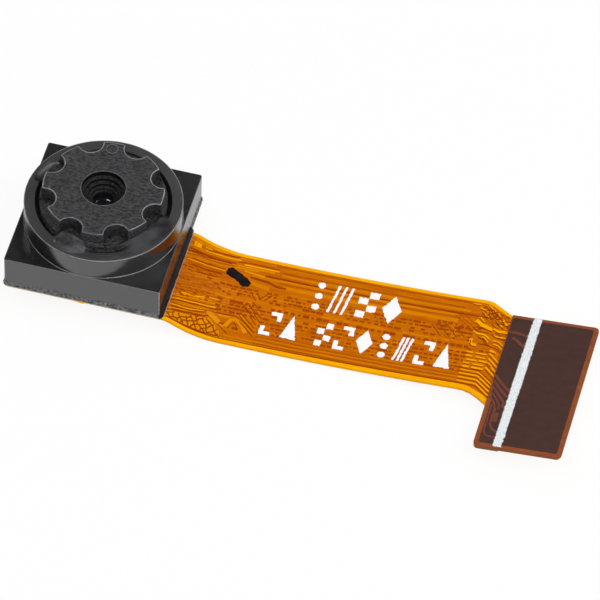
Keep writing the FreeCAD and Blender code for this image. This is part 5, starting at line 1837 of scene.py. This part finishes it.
def makeDrape(name, sizes):
    bm = bmesh.new()
    first, last = sizes["over"][0][0], sizes["over"][-1][0]
    steps = drape["outSteps"]
    radii = [first + (last - first) * j / steps for j in range(steps + 1)]
    outward, around = drape["lumpScale"]
    rings = []
    for k in range(drape["roundSteps"] + 1):
        share = 2 * k / drape["roundSteps"] - 1
        angle = math.radians(sizes["middle"] + sizes["half"] * share)
        swell = max(0.0, 1 - share ** 2) ** sizes["swell"]
        ring = []
        for r in radii:
            low = heightAt(sizes["under"], r)
            lump = noise.noise(Vector((r * outward, angle * around, drape["lumpSeed"]))) * sizes["lumps"]
            thick = (heightAt(sizes["over"], r) - low + lump) * swell
            ring.append((r, low + max(drape["thinnest"], thick)))
        ring += [(r, heightAt(sizes["under"], r)) for r in reversed(radii)]
        rings.append([bm.verts.new((r * math.cos(angle) * mm, r * math.sin(angle) * mm, z * mm))
                      for r, z in ring])
    joinRings(bm, rings, False)
    bm.faces.new(rings[0])
    bm.faces.new(rings[-1])
    finishPiece(meshObject(name + "_drape", bm), sizes["finish"], "glue_black", name, sharp=60)


for glueName, glueSizes in threadGlue.items():
    makeDrape(glueName, glueSizes)


# Ragged glue bead round the holder's foot
footGlue = {
    "foot": 1.0,
    "sunk": 0.15,
    "rootDepth": 0.01,
    "height": 0.26,
    "rough": 0.45,
    # unevenness all round: how fine, seed, share
    "lumps": ((4.0, 1.0, 0.6), (14.0, 2.0, 1.0)),
    # how far it stands out, and by what share that varies, at the free sides and over the neck
    "reach": 0.07,
    "reachMost": 0.079,
    "reachRough": 0.4,
    "neckReach": 0.16,
    "neckRough": 0.25,
    "neckMargin": 0.1,
    "neckFine": 3.0,
    "neckSeed": 5.0,
    "sideSteps": 130,
    "corner": 0.12,
    "cornerSteps": 4,
    # the outer face, from the foot up, in shares of the reach and of the height
    "face": ((0.8, 0.0), (1.0, 0.2), (0.9, 0.42), (0.6, 0.7), (0.25, 0.92)),
    "topReach": 0.004,
}


def footPath(sizes):
    # Round the base: each place on its edge, and the way out from it
    half = baseHalf
    inner = half - sizes["corner"]
    path = []
    for out, along in (((1, 0), (0, 1)), ((0, 1), (-1, 0)), ((-1, 0), (0, -1)), ((0, -1), (1, 0))):
        for k in range(sizes["sideSteps"]):
            slide = (2 * k / sizes["sideSteps"] - 1) * inner
            path.append((out[0] * half + along[0] * slide, out[1] * half + along[1] * slide, *out))
        for k in range(sizes["cornerSteps"]):
            angle = math.pi / 2 * (k + 0.5) / sizes["cornerSteps"]
            nx = out[0] * math.cos(angle) + along[0] * math.sin(angle)
            ny = out[1] * math.cos(angle) + along[1] * math.sin(angle)
            path.append((
                (out[0] + along[0]) * inner + nx * sizes["corner"],
                (out[1] + along[1]) * inner + ny * sizes["corner"], nx, ny))
    return path


def makeFootGlue(sizes):
    bm = bmesh.new()
    rings = []
    for x, y, nx, ny in footPath(sizes):
        ragged = sum(share * wobble(x, y, fine, seed) for fine, seed, share in sizes["lumps"])
        high = sizes["foot"] + sizes["height"] * (1 + sizes["rough"] * ragged)
        if nx > 0.5 and y < plan["neckTop"] + sizes["neckMargin"]:
            wave = wobble(x, y, sizes["neckFine"], sizes["neckSeed"])
            reach = sizes["neckReach"] * (1 + sizes["neckRough"] * wave)
            low = filmHeight(baseHalf + reach, filmTop) - sizes["rootDepth"]
        else:
            reach = min(sizes["reach"] * (1 + sizes["reachRough"] * ragged), sizes["reachMost"])
            low = sizes["foot"] - sizes["rootDepth"]
        section = [(-sizes["sunk"], low)]
        section += [(reach * out, low + (high - low) * up) for out, up in sizes["face"]]
        section += [(sizes["topReach"], high), (-sizes["sunk"], high)]
        rings.append([bm.verts.new(((x + nx * out) * mm, (y + ny * out) * mm, z * mm))
                      for out, z in section])
    joinRings(bm, rings, True)
    finishPiece(meshObject("foot_glue", bm), "footGlue", "glue_black", "holder_glue", sharp=70)


makeFootGlue(footGlue)


# Burr of film squeezed out at the front edge
filmBurr = {
    "outline": [(-0.5, -3.97), (-0.42, -4.02), (-0.2, -4.03), (-0.02, -4.07), (0.1, -4.06),
                (0.18, -4.02), (0.3, -3.97)],
    "rough": 0.01,
    "fine": 9.0,
    "step": 0.05,
    "seed": 40.0,
    "low": 0.02,
    "high": filmTop + 0.02,
}
makeRaggedPiece("film_burr", "film", "amber_film", filmBurr)
print("glue made")


# Materials of the CAD nodes, whose shapes stay as they are
slotFinishes = {
    "holder_black": "holder", "barrel_black": "dark", "lens_glass": "glass",
    "filter_glass": "filter", "glue_black": "glue", "silicon": "silicon", "solder": "solder",
    "stiffener_board": "board", "adhesive_film": "adhesive", "amber_film": "film",
    "copper": "copper", "gold": "gold", "brown_film": "tongueEdge", "capacitor": "capacitor",
}
for part in frame["record"]["subparts"]:
    materials = frame["nodes"][part["node"]].data.materials
    materials.clear()
    materials.append(finishes[slotFinishes[part["material_slot"]]])
